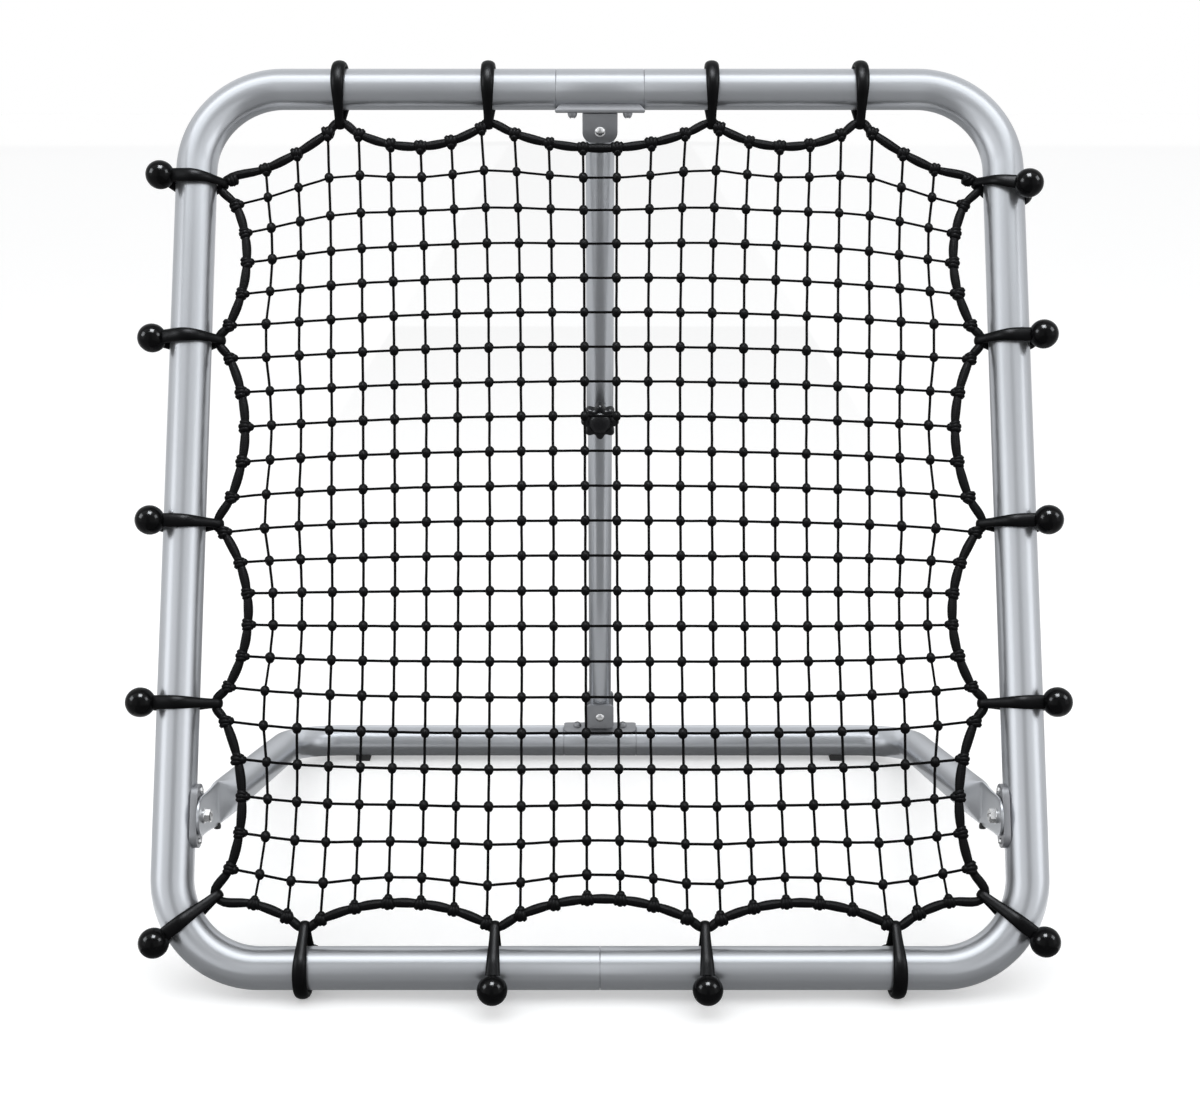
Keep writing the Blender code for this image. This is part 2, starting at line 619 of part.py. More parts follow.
def bungee_hooks():
    """Every bungee's place: its key on the rope, the rope's place, where its loop crosses the
    tube's centre, the tube's direction there, and the ball's roll."""
    hooks = []
    for number, (word, side) in enumerate((("left", -1), ("right", 1))):
        def place(across, up):
            return Vector((side * across, 0, up))

        def mark(mesh):
            return mesh if side < 0 else NET_COLUMNS + 1 - mesh

        for name, share, standoff, mesh, rolls in TOP_TIES:
            along = share * HALF_WIDTH
            hooks.append(Hook(f"{name}_{word}", ("top", mark(mesh)),
                              place(along, FRAME_HEIGHT - standoff), place(along, FRAME_HEIGHT),
                              AXIS_X, rolls[number]))
        for name, share, standoff, mesh, rolls in SIDE_TIES:
            up = share * FRAME_HEIGHT
            hooks.append(Hook(f"{name}_{word}", (word, mesh), place(HALF_WIDTH - standoff, up),
                              place(HALF_WIDTH, up), AXIS_Z, rolls[number]))
        for name, share, standoff, mesh, rolls in BOTTOM_TIES:
            along = share * HALF_WIDTH
            caught = mark(mesh) + BOTTOM_SHIFT
            hooks.append(Hook(f"{name}_{word}", ("bottom", caught), place(along, standoff),
                              place(along, 0.0), AXIS_X, rolls[number]))
        hooks.append(Hook(
            f"top_corner_{word}", ("top", word),
            place(HALF_WIDTH - TOP_CORNER_ROPE_INSET, FRAME_HEIGHT - TOP_CORNER_ROPE_DROP),
            place(HALF_WIDTH, FRAME_HEIGHT - TOP_CORNER_STRAP_DROP), AXIS_Z,
            TOP_CORNER_ROLL[number]))
        corner_tube = place(HALF_WIDTH - BOTTOM_CORNER_STRAP_INSET, BOTTOM_CORNER_STRAP_RISE)
        spoke = corner_tube - place(HALF_WIDTH - FRAME_BEND, FRAME_BEND)
        hooks.append(Hook(
            f"bottom_corner_{word}", ("bottom", word),
            place(HALF_WIDTH - BOTTOM_CORNER_ROPE_INSET, BOTTOM_CORNER_ROPE_RISE), corner_tube,
            spoke.cross(AXIS_Y).normalized(), BOTTOM_CORNER_ROLL[number]))
    return hooks


def relaxed_net(hooks):
    """Knots and rope nodes at rest under tension, by the force density method.

    Cords pull in proportion to their length, the rope pulls harder, and the bungees hold the
    rope. Returns the places, the rope's keys in order round the net, and the way to a knot's key.
    """
    mirror_column = NET_COLUMNS + 1
    fixed = {hook.key: hook.rope for hook in hooks}

    def marks(name):
        return [key[1] for key in fixed if key[0] == name and not isinstance(key[1], str)]

    def edge(name, count, first, last, pull, slack=(0.0, 0.0, 0.0)):
        """One side of the rope. A slack span has two marks, from either end, and its own pull."""
        stops = [first, last] + [(mark, (name, mark)) for mark in marks(name)]
        stops += [(number, (name, number)) for number in range(1, count + 1)]
        stops.sort(key=lambda stop: stop[0])
        slack_start, slack_end, slack_pull = slack
        links = []
        for (start, near), (end, far) in zip(stops, stops[1:]):
            middle = (start + end) / 2
            loose = slack_start < min(middle, count + 1 - middle) < slack_end
            links.append((near, far, (slack_pull if loose else pull) / (end - start)))
        return [key for _, key in stops], links

    edges = [
        edge("top", NET_COLUMNS, (TOP_CORNER_COLUMN, ("top", "left")),
             (mirror_column - TOP_CORNER_COLUMN, ("top", "right")), TOP_ROPE_PULL,
             (TOP_OUTER_MARK, TOP_INNER_MARK, TOP_SLACK_PULL)),
        edge("right", NET_ROWS, (TOP_CORNER_ROW, ("top", "right")),
             (BOTTOM_CORNER_ROW, ("bottom", "right")), SIDE_ROPE_PULL),
        edge("bottom", NET_COLUMNS, (BOTTOM_CORNER_COLUMN, ("bottom", "left")),
             (mirror_column - BOTTOM_CORNER_COLUMN, ("bottom", "right")), BOTTOM_ROPE_PULL),
        edge("left", NET_ROWS, (TOP_CORNER_ROW, ("top", "left")),
             (BOTTOM_CORNER_ROW, ("bottom", "left")), SIDE_ROPE_PULL),
    ]
    links = [link for _, edge_links in edges for link in edge_links]

    def neighbour(column, row):
        if column == 0:
            return ("left", row)
        if column == mirror_column:
            return ("right", row)
        if row == 0:
            return ("top", column)
        if row == NET_ROWS + 1:
            return ("bottom", column)
        return (column, row)

    for column in range(0, NET_COLUMNS + 1):
        for row in range(1, NET_ROWS + 1):
            links.append((neighbour(column, row), neighbour(column + 1, row), 1.0))
    for column in range(1, NET_COLUMNS + 1):
        for row in range(0, NET_ROWS + 1):
            pull = LAST_CORD_PULL if row == NET_ROWS else 1.0
            links.append((neighbour(column, row), neighbour(column, row + 1), pull))

    free = sorted({key for near, far, _ in links for key in (near, far)} - set(fixed), key=str)
    index = {key: number for number, key in enumerate(free)}
    stiffness = np.zeros((len(free), len(free)))
    load = np.zeros((len(free), 2))
    for near, far, pull in links:
        for one, other in ((near, far), (far, near)):
            if one in index:
                stiffness[index[one], index[one]] += pull
                if other in index:
                    stiffness[index[one], index[other]] -= pull
                else:
                    load[index[one]] += pull * np.array((fixed[other].x, fixed[other].z))
    solved = np.linalg.solve(stiffness, load)
    places = {key: Vector((solved[index[key]][0], 0, solved[index[key]][1])) for key in free}
    places.update(fixed)
    loop = edges[0][0] + edges[1][0][1:] + edges[2][0][::-1][1:] + edges[3][0][::-1][1:-1]
    return places, loop, neighbour


def rope_lean(places, loop, key, direction):
    """The larger angle by which the rope's two branches at a node lean towards a direction."""
    at = loop.index(key)
    branches = [places[loop[at - 1]] - places[key], places[loop[(at + 1) % len(loop)]] - places[key]]
    return max(0.0, max(math.pi / 2 - direction.angle(branch) for branch in branches))


def border_rope(places, loop, material, parent):
    """The thick rope round the net, mitred at each node."""
    count = len(loop)
    rings = []
    for number, key in enumerate(loop):
        before = (places[key] - places[loop[number - 1]]).normalized()
        after = (places[loop[(number + 1) % count]] - places[key]).normalized()
        heading = (before + after).normalized()
        stretch = 1 / heading.dot(before)
        rings.append(oval_ring(places[key], heading, AXIS_Y, ROPE / 2 * stretch, ROPE / 2,
                               sides=ROPE_SIDES))
    return loft("border_rope", rings, material, parent, cyclic=True)


def net_mesh(places, loop, neighbour, material, parent):
    """Every cord of the net as one lattice. Each knot has four corners behind and a peak in
    front, and each cord runs between the facing sides of two knots."""
    bm = bmesh.new()
    half = CORD / 2
    ports = {}
    sides = {"east": ((1, 1), (1, -1)), "west": ((-1, 1), (-1, -1)),
             "north": ((-1, 1), (1, 1)), "south": ((-1, -1), (1, -1))}
    for column in range(1, NET_COLUMNS + 1):
        for row in range(1, NET_ROWS + 1):
            knot = places[column, row]
            corner = {(x, z): bm.verts.new(knot + Vector((x * half, half, z * half)))
                      for x in (-1, 1) for z in (-1, 1)}
            peak = bm.verts.new(knot + Vector((0, -CORD, 0)))
            bm.faces.new([corner[spot] for spot in ((-1, -1), (1, -1), (1, 1), (-1, 1))])
            for way, (first, second) in sides.items():
                ports[(column, row), way] = (corner[first], corner[second], peak)

    def rope_port(key, inner, way):
        towards = (places[inner] - places[key]).normalized()
        lean = rope_lean(places, loop, key, towards)
        place = places[key] + towards * ((ROPE / 2 + GAP) / math.cos(lean) + half * math.tan(lean))
        across = AXIS_Z if way in ("east", "west") else AXIS_X
        order = 1 if way in ("east", "west") else -1
        port = tuple(bm.verts.new(place + across * half * order * turn + AXIS_Y * half)
                     for turn in (1, -1)) + (bm.verts.new(place - AXIS_Y * half),)
        bm.faces.new(port)
        return port

    def cord(near, far, leaving, arriving):
        ends = []
        for key, other, way in ((near, far, leaving), (far, near, arriving)):
            ends.append(ports[key, way] if (key, way) in ports else rope_port(key, other, way))
        (a, b, peak), (c, d, far_peak) = ends
        bm.faces.new((a, c, far_peak, peak))
        bm.faces.new((peak, far_peak, d, b))
        bm.faces.new((b, d, c, a))

    for column in range(0, NET_COLUMNS + 1):
        for row in range(1, NET_ROWS + 1):
            cord(neighbour(column, row), neighbour(column + 1, row), "east", "west")
    for column in range(1, NET_COLUMNS + 1):
        for row in range(0, NET_ROWS + 1):
            cord(neighbour(column, row), neighbour(column, row + 1), "south", "north")
    return mesh_object("net_mesh", bm, material, parent)


def wrapped_circle(centre_x, radius, facets, phase):
    """Corners of a polygon whose flats touch a circle from outside."""
    reach = radius / math.cos(math.pi / facets)
    return [(centre_x + reach * math.cos(phase + math.tau * (step + 0.5) / facets),
             reach * math.sin(phase + math.tau * (step + 0.5) / facets)) for step in range(facets)]


def convex_hull(points, tolerance=1e-12):
    """Corners of the hull, anticlockwise."""
    def half_hull(ordered):
        chain = []
        for point in ordered:
            while len(chain) > 1:
                (ax, ay), (bx, by) = chain[-2:]
                if (bx - ax) * (point[1] - ay) - (by - ay) * (point[0] - ax) > tolerance:
                    break
                chain.pop()
            chain.append(point)
        return chain[:-1]

    ordered = sorted(points)
    return half_hull(ordered) + half_hull(ordered[::-1])


def bungee(hook, kink, materials, parent):
    """A ball and its strap, which loops round the tube and the rope.

    The loop lies in a plane square to the frame: x runs from the tube to the rope, y to the
    front. It is the hull of the tube, the rope and the ball's centre, cut off at the ball. The
    kink is how far the rope turns away each side of the strap, which widens the loop there.
    """
    crossing = hook.crossing
    inward = hook.rope - crossing
    standoff = inward.length
    inward.normalize()
    front = -AXIS_Y
    across = inward.cross(front)
    slant = math.acos(min(abs(across.dot(hook.tangent)), 1.0))
    tube_reach = (TUBE_RADIUS / math.cos(slant) + STRAP_WIDTH / 2 * math.tan(slant)
                  + STRAP_GAP + STRAP_THICKNESS / 2)
    rope_reach = ROPE / 2 + STRAP_GAP + STRAP_END_THICKNESS / 2
    loop_end = standoff + ROPE / 2 * (1 / math.cos(kink) - 1) + STRAP_END_WIDTH / 2 * math.tan(kink)
    down = inward * -math.cos(FRAME_LEAN) + front * -math.sin(FRAME_LEAN)
    vertical = abs(inward.z) > abs(inward.x)
    phase = math.atan2(down.dot(front), down.dot(inward)) if vertical else 0.0
    ball_angle = math.pi - math.radians(hook.roll)
    ball = (BALL_REACH * math.cos(ball_angle), BALL_REACH * math.sin(ball_angle))
    hull = convex_hull(wrapped_circle(0.0, tube_reach, STRAP_TUBE_FACETS, phase)
                       + wrapped_circle(loop_end, rope_reach, STRAP_ROPE_FACETS, 0.0) + [ball])
    start = hull.index(ball)
    flat = [Vector((x, y)) for x, y in hull[start:] + hull[:start]]
    cut = BALL / 2 + GAP
    path = ([flat[0] + (flat[1] - flat[0]).normalized() * cut] + flat[1:]
            + [flat[0] + (flat[-1] - flat[0]).normalized() * cut])

    rings = []
    for number, place in enumerate(path):
        before = path[number] - path[number - 1] if number else path[1] - path[0]
        after = path[number + 1] - path[number] if number + 1 < len(path) else before
        normals = [Vector((way.y, -way.x)).normalized() for way in (before, after)]
        mitre = (normals[0] + normals[1]) / (1 + normals[0].dot(normals[1]))
        share = min(max((place.x - TUBE_RADIUS / 2) / (standoff - TUBE_RADIUS / 2), 0.0), 1.0)
        half_thick = (STRAP_THICKNESS + (STRAP_END_THICKNESS - STRAP_THICKNESS) * share) / 2
        half_wide = (STRAP_WIDTH + (STRAP_END_WIDTH - STRAP_WIDTH) * share) / 2
        ring = []
        for side, up in ((1, 1), (-1, 1), (-1, -1), (1, -1)):
            spot = place + mitre * half_thick * up
            ring.append(crossing + inward * spot.x + front * spot.y + across * half_wide * side)
        rings.append(ring)
    loft(f"bungee_strap_{hook.name}", rings, materials["black_rubber"], parent)

    bm = bmesh.new()
    bmesh.ops.create_uvsphere(bm, u_segments=BALL_SIDES, v_segments=BALL_RINGS, radius=BALL / 2)
    made = mesh_object(f"bungee_ball_{hook.name}", bm, materials["black_ball"], parent)
    made.location = crossing + inward * ball[0] + front * ball[1]


def bungees(hooks, places, loop, materials, parent):
    for hook in hooks:
        inward = (hook.rope - hook.crossing).normalized()
        bungee(hook, rope_lean(places, loop, hook.key, inward), materials, parent)


def strut_tubes(materials, upper, lower):
    """The outer tube hangs from the top bar. The inner tube slides in it from the rear bar."""
    outer_bore = OUTER_STRUT / 2 - OUTER_STRUT_WALL
    outer = straight_tube("strut_outer_tube", TOP_BAR, -AXIS_Z, UPPER_PAD_FACE + STRUT_END_GAP,
                          OUTER_STRUT_END, OUTER_STRUT / 2, outer_bore,
                          materials["silver_paint"], upper)
    boolean(outer, cylinder_cutter("cut_outer_bolt", -AXIS_Z * UPPER_BOLT_DROP, AXIS_Y,
                                   CLEVIS_SHANK / 2 + HOLE_GAP, OUTER_STRUT * 2, upper, BOLT_SIDES))
    boolean(outer, cylinder_cutter("cut_outer_clamp", Vector((0, -OUTER_STRUT / 2, -CLAMP_DROP)),
                                   AXIS_Y, CLAMP_SCREW / 2 + HOLE_GAP, OUTER_STRUT / 2, upper,
                                   BOLT_SIDES))
    inner = straight_tube("strut_inner_tube", TOP_BAR, -AXIS_Z, OUTER_STRUT_END - INNER_STRUT_INSERT,
                          STRUT_LENGTH - LOWER_PAD_FACE - STRUT_END_GAP, INNER_STRUT / 2,
                          INNER_STRUT / 2 - INNER_STRUT_WALL, materials["silver_paint"], lower)
    boolean(inner, cylinder_cutter("cut_inner_bolt", -AXIS_Z * (STRUT_LENGTH - LOWER_BOLT_RISE),
                                   AXIS_Y, CLEVIS_SHANK / 2 + HOLE_GAP, INNER_STRUT * 2, lower,
                                   BOLT_SIDES))


def build():
    materials = make_materials()
    silver = materials["silver_paint"]
    casting = materials["grey_casting"]
    steel = materials["bright_steel"]

    frame = empty("frame_plane", (0, -CENTRE_Y, BAR_HEIGHT), -FRAME_LEAN)
    stand = empty("stand_pivot", (0, PIVOT_Y - CENTRE_Y, PIVOT_Z), STAND_TILT)
    upper = empty("strut_pivot", (0, TOP_Y - CENTRE_Y, TOP_Z), STRUT_TILT)
    lower = empty("strut_slide", (0, 0, 0), 0.0, upper)
    knob = empty("knob_axis", (0, 0, -CLAMP_DROP), 0.0, upper)

    for word, side in (("left", -1), ("right", 1)):
        frame_half(word, side, silver, frame)
        side_bracket(word, side, casting, frame)
        stand_half(word, side, silver, stand)
        pivot_bolt(word, side, steel, stand)
        rear_foot(word, side, materials["black_rubber"], stand)
    top_spigot(casting, frame)
    rear_spigot(casting, stand)

    hooks = bungee_hooks()
    places, loop, neighbour = relaxed_net(hooks)
    border_rope(places, loop, materials["black_rope"], frame)
    net_mesh(places, loop, neighbour, materials["black_cord"], frame)
    bungees(hooks, places, loop, materials, frame)

    swivel_sleeve("upper_swivel_sleeve", TOP_BAR, TUBE_RADIUS, FRAME_BORE, silver, upper)
    swivel_sleeve("lower_swivel_sleeve", REAR_BAR, STAND_RADIUS, STAND_BORE, silver, lower)
    pad_length = SLEEVE_LENGTH + UPPER_PAD_OVERHANG * 2
    pad = bevelled_pad("upper_clevis", TOP_BAR, -AXIS_Z, pad_length, PAD_DEPTH, UPPER_PAD_FACE,
                       casting, upper)
    clevis(pad, TOP_BAR, -AXIS_Z, TUBE_RADIUS, (pad_length, UPPER_PAD_FACE),
           (UPPER_EAR_WIDTH, UPPER_EAR_REACH), UPPER_BOLT_DROP, OUTER_STRUT, upper)
    saddle = curved_saddle("lower_clevis", REAR_BAR, AXIS_Z, SLEEVE_LENGTH, LOWER_SADDLE_RADIUS,
                           LOWER_SADDLE_SPREAD, casting, lower)
    boolean(saddle, bevelled_pad("lower_clevis_block", REAR_BAR, AXIS_Z, LOWER_EAR_WIDTH,
                                 LOWER_BLOCK_DEPTH, LOWER_PAD_FACE, None, lower), "UNION")
    clevis(saddle, REAR_BAR, AXIS_Z, STAND_RADIUS, (SLEEVE_LENGTH, LOWER_PAD_FACE),
           (LOWER_EAR_WIDTH, LOWER_EAR_REACH), LOWER_BOLT_RISE, INNER_STRUT, lower)
    clevis_bolt("upper_clevis_bolt", -AXIS_Z * UPPER_BOLT_DROP, OUTER_STRUT, steel, upper)
    clevis_bolt("lower_clevis_bolt", REAR_BAR + AXIS_Z * LOWER_BOLT_RISE, INNER_STRUT, steel, lower)
    strut_tubes(materials, upper, lower)
    clamp_boss(casting, upper)
    clamp_knob(materials["black_knob"], knob)


for old in list(bpy.data.objects):
    bpy.data.objects.remove(old, do_unlink=True)
build()
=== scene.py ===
"""Rebound net: the finished surfaces of a leaning tube frame with a knotted net on ball bungees,
its folding stand and its telescopic strut, in a white studio.

It is laid out as an add-on and run as a script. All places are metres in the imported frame,
+Z up, with the net facing -Y.
"""

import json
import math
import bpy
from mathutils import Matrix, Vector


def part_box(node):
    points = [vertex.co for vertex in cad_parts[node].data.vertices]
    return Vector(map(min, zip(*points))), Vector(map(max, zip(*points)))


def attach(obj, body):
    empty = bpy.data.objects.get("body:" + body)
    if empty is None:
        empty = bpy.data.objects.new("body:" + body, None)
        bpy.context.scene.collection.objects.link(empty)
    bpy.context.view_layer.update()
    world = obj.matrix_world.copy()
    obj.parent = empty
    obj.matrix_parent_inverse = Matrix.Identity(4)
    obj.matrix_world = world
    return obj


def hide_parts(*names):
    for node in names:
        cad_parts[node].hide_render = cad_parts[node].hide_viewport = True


bl_info = {
    "name": "Rebound Net",
    "version": (1, 0, 0),
    "blender": (4, 5, 0),
    "location": "View3D > Sidebar > Rebound Net",
    "description": "Dresses the packed rebound net: tubes, fittings, bungees and a knotted net",
    "category": "Object",
}

from collections import namedtuple

import bmesh
import bpy
import numpy as np
from bpy.props import FloatProperty, FloatVectorProperty, IntProperty, PointerProperty
from mathutils import Matrix, Vector

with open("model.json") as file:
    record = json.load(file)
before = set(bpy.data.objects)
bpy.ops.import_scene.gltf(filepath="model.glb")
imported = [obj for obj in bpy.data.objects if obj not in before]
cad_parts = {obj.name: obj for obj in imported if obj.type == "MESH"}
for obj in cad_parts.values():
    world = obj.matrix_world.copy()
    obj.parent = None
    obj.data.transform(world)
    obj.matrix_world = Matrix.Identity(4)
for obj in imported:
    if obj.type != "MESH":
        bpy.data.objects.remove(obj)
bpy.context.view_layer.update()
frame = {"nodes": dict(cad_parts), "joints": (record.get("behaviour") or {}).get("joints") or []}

MM = 0.001
AXIS_X = Vector((1, 0, 0))
AXIS_Y = Vector((0, 1, 0))
AXIS_Z = Vector((0, 0, 1))
SIDES = (("left", -1), ("right", 1))

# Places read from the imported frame
JOINTS = {joint["name"]: joint for joint in frame["joints"]}
PIVOT = Vector(JOINTS["stand_hinge"]["pos_m"])
TOP_BAR = Vector(JOINTS["strut_swing"]["pos_m"])
STRUT_DOWN = Vector(JOINTS["strut_slide"]["axis"]).normalized()
FRAME_UP = (TOP_BAR - PIVOT).normalized()
REAR_BAR = sum(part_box("rear_spigot"), Vector()) / 2
STAND_ARM = (REAR_BAR - PIVOT).length
STRUT_LENGTH = (REAR_BAR - TOP_BAR).length


def placing(origin, across, up):
    """The matrix of a local frame whose X is across and whose Z is up."""
    back = up.cross(across).normalized()
    turn = Matrix((across, back, up)).transposed().to_4x4()
    return Matrix.Translation(origin) @ turn


def turn_of(place):
    """The turn of a local frame, without its place."""
    return place.to_3x3().to_4x4()


STAND_PLACE = placing(PIVOT, AXIS_X, AXIS_X.cross((REAR_BAR - PIVOT).normalized()))
STRUT_PLACE = placing(TOP_BAR, AXIS_X, -STRUT_DOWN)
STRUT_LEAN = math.atan2(STRUT_DOWN.y, -STRUT_DOWN.z)


def size(default, description):
    """A length that a user may set, with its default in millimetres."""
    return FloatProperty(description=description, default=default * MM, min=0.0, unit="LENGTH",
                         precision=5)


def count(default, description):
    return IntProperty(description=description, default=default, min=1)


def factor(default, description):
    return FloatProperty(description=description, default=default)


def colour(default, description):
    return FloatVectorProperty(description=description, default=default, size=3, min=0.0, max=1.0,
                               subtype="COLOR")


class FrameSizes(bpy.types.PropertyGroup):
    """The leaning front frame and its saddle brackets"""
    tube: size(38.0, "Outer diameter of the frame's tube")
    wall: size(1.5, "Wall of the frame's tube")
    width: size(762.0, "Distance between the uprights' centres")
    height: size(816.0, "Distance between the bars' centres, up the lean")
    bend: size(80.0, "Radius of the corners at the tube's centre")
    pivot_rise: size(133.0, "Height of the stand's pivot up the upright")
    sleeve: size(83.0, "Length of the swivel sleeves")
    seam: size(0.3, "Gap between the sleeve and the frame's halves")
    insert: size(45.0, "Depth of the swaged joint")
    saddle_length: size(57.0, "Length of the saddle brackets")
    saddle_width: size(25.0, "Width of the saddle brackets")
    saddle_thickness: size(3.5, "Plate under the arm's tongue")
    saddle_wrap: size(3.0, "How far the bracket wraps round the upright")


class StandSizes(bpy.types.PropertyGroup):
    """The folding stand"""
    tube: size(35.0, "Outer diameter of the stand's tube")
    wall: size(1.5, "Wall of the stand's tube")
    bend: size(58.0, "Radius of the rear corners")
    tongue_thickness: size(3.0, "Thickness of the arms' flattened ends")
    tongue_end: size(18.0, "Radius of the tongue's round end")
    tongue_nose: size(13.0, "Length of the tongue's narrow part")
    tongue_width: size(41.0, "Width of the flattened tube")
    tongue_length: size(60.0, "Length of the flat part")
    tongue_fade: size(50.0, "Length over which the tube becomes round")
    tongue_squareness: factor(0.3, "Lower is more square")
    foot_spacing: size(550.0, "Distance between the feet")
    foot_length: size(16.0, "Length of a foot along the bar")
    foot_depth: size(24.0, "Depth of a foot across the bar")
    foot_wrap: size(6.5, "How far a foot wraps up the bar")
    stop: size(6.5, "Width of the stop stud under each arm")


class StrutSizes(bpy.types.PropertyGroup):
    """The telescopic strut, its clevises and its clamp"""
    outer: size(28.0, "Diameter of the outer tube")
    inner: size(25.0, "Diameter of the inner tube")
    wall: size(1.2, "Wall of both tubes")
    outer_end: size(352.0, "Where the outer tube ends, down from the top bar")
    insert: size(170.0, "How far the inner tube reaches into the outer one")
    end_gap: size(3.0, "Between each tube's end and its clevis pad")
    clamp_drop: size(331.0, "The knob's place, down from the top bar")
    boss: size(17.0, "Diameter of the clamp's boss")
    boss_height: size(9.0, "How far the boss stands off the tube")
    pad_depth: size(40.0, "Depth of the clevis pads, front to back")
    pad_edge: size(3.0, "Thickness of the pad's upright edge")
    pad_bevel: size(5.2, "Bevel of the pad towards the bar")
    pad_overhang: size(1.0, "How far the upper pad passes its sleeve")
    ear_thickness: size(2.5, "Thickness of the clevis ears")
    ear_corner: size(9.0, "Radius of the ears' free corners")
    upper_pad_face: size(20.5, "From the top bar's centre")
    upper_bolt: size(35.5, "From the top bar's centre")
    upper_reach: size(46.2, "From the top bar's centre")
    upper_width: size(33.5, "Across the ear")
    lower_pad_face: size(28.5, "From the rear bar's centre")
    lower_bolt: size(43.0, "From the rear bar's centre")
    lower_reach: size(59.0, "From the rear bar's centre")
    lower_width: size(31.0, "Across the ear")
    lower_saddle: size(21.0, "Radius of the lower clevis's curved wings")
    lower_block: size(28.0, "Depth of the block between the lower ears")
    pad_screw_spacing: size(52.5, "Distance between a pad's two screws")
    key_drop: size(56.0, "Place of the pressed key, down from the top bar")
    knob: size(39.0, "Diameter of the clamp knob")
    knob_lobes: count(8, "Lobes round the knob")
    knob_lobe_depth: size(4.4, "Depth of the hollows between the lobes")
    knob_thickness: size(13.0, "Thickness of the knob's rim")
    knob_edge: size(3.6, "Rounding of the rim")
    knob_cap: size(21.5, "Diameter of the domed cap")
    knob_cap_rise: size(5.0, "Height of the domed cap")


class NetSizes(bpy.types.PropertyGroup):
    """The net, its border rope and the ball bungees"""
    columns: count(22, "Cords that run up the net")
    rows: count(21, "Cords that run across the net")
    cord: size(2.5, "Thickness of the net's cord")
    knot_width: size(9.4, "Width of a knot")
    knot_height: size(10.2, "Height of a knot")
    rope: size(8.8, "Thickness of the border rope between its ties")
    rope_waist: size(6.0, "Thickness of the border rope in a tie")
    side_pull: factor(3.7, "The side ropes' pull against the cord's")
    top_pull: factor(6.5, "The top rope's pull against the cord's")
    slack_pull: factor(4.1, "The top rope's pull between its outer bungees")
    bottom_pull: factor(5.7, "The bottom rope's pull against the cord's")
    last_pull: factor(1.27, "The pull of the short cords at the bottom rope")
    bottom_shift: factor(-0.12, "Meshes the net hangs to the right at the bottom")
    ball: size(26.8, "Diameter of the bungees' balls")
    ball_reach: size(35.2, "From the tube's centre to the ball's")
    strap_thickness: size(7.6, "Thickness of the strap at the tube")
    strap_width: size(12.8, "Width of the strap at the tube")
    strap_tip_thickness: size(3.8, "Thickness of the strap at the rope")
    strap_tip_width: size(8.2, "Width of the strap at the rope")


class Finishes(bpy.types.PropertyGroup):
    """Colours of the finishes"""
    silver: colour((0.50, 0.515, 0.54), "Paint on the tubes")
    casting: colour((0.30, 0.305, 0.32), "Brackets and clevises")
    steel: colour((0.72, 0.72, 0.72), "Bolts and screws")
    knob: colour((0.006, 0.006, 0.007), "The clamp knob")
    ball: colour((0.002, 0.002, 0.0022), "The bungees' balls")
    strap: colour((0.0025, 0.0025, 0.0028), "The bungees' straps")
    foot: colour((0.020, 0.020, 0.020), "Feet and stops")
    rope: colour((0.0025, 0.0025, 0.0028), "Border rope and its ties")
    cord: colour((0.0022, 0.0022, 0.0025), "The net")
    backdrop: colour((1.0, 1.0, 1.0), "Floor and background")


# Bungees, as the name, the hooking place as a share of the bar, how far the rope hangs from the
# bar's centre, its place along the net in meshes, and the left and right ball's roll to the front
TOP_TIES = (
    ("top_inner", 0.278, 32.5 * MM, 8.25, (-64.0, -64.0)),
    ("top_outer", 0.648, 32.5 * MM, 3.4, (-64.0, -64.0)),
)
SIDE_TIES = (
    ("side_upper", 0.699, 25.3 * MM, 5.46, (15.0, 41.0)),
    ("side_middle", 0.487, 29.0 * MM, 10.72, (43.0, 47.0)),
    ("side_lower", 0.286, 33.0 * MM, 16.54, (34.0, 42.0)),
)
BOTTOM_TIES = (
    ("bottom_inner", 0.245, 34.0 * MM, 8.36, (64.0, 64.0)),
    ("bottom_outer", 0.688, 34.0 * MM, 2.66, (-97.0, -97.0)),
)
# The corner bungees, as insets and rises from the bars' centres at a corner
TOP_CORNER_ROPE = (23.6 * MM, 94.0 * MM)
TOP_CORNER_STRAP_DROPS = (93.0 * MM, 100.0 * MM)
TOP_CORNER_ROLL = (33.0, 62.0)
BOTTOM_CORNER_ROPE = (39.0 * MM, 62.0 * MM)
BOTTOM_CORNER_STRAP = (11.0 * MM, 39.4 * MM)
BOTTOM_CORNER_ROLL = (45.0, 49.0)
# Where the corner bungees catch the rope, in meshes beyond the first row or column
TOP_CORNER_COLUMN = -0.4
TOP_CORNER_ROW = 0.18
BOTTOM_CORNER_COLUMN = -0.12
BOTTOM_CORNER_ROW = 21.82
# How far a strap gives way to a kinked rope, and where the top corners' collars sit on the rope,
# as a share of the way from the corner to the next cord
STRAP_KINK_LIMIT = math.radians(30)
CORNER_COLLAR_SHARE = 0.25

# Eased edges: their segments, the angles over which edges count as sharp, in degrees, and the
# share of a tube's wall that its rims are rounded by
EDGE_SEGMENTS = 3
EDGE_ANGLE = 34
RIM_ANGLE = 60
RIM_SHARE = 0.3

# The angle over which an edge is shaded sharp, in degrees
PLAIN_SHARP = 40.0
FLATS_SHARP = 30.0
COPY_SHARP = 50.0
KNOB_SHARP = 45.0
BUNGEE_SHARP = 60.0
CORD_SHARP = 80.0

# Clearance between fittings and what they clasp or stand on
CLEARANCE = 0.1 * MM

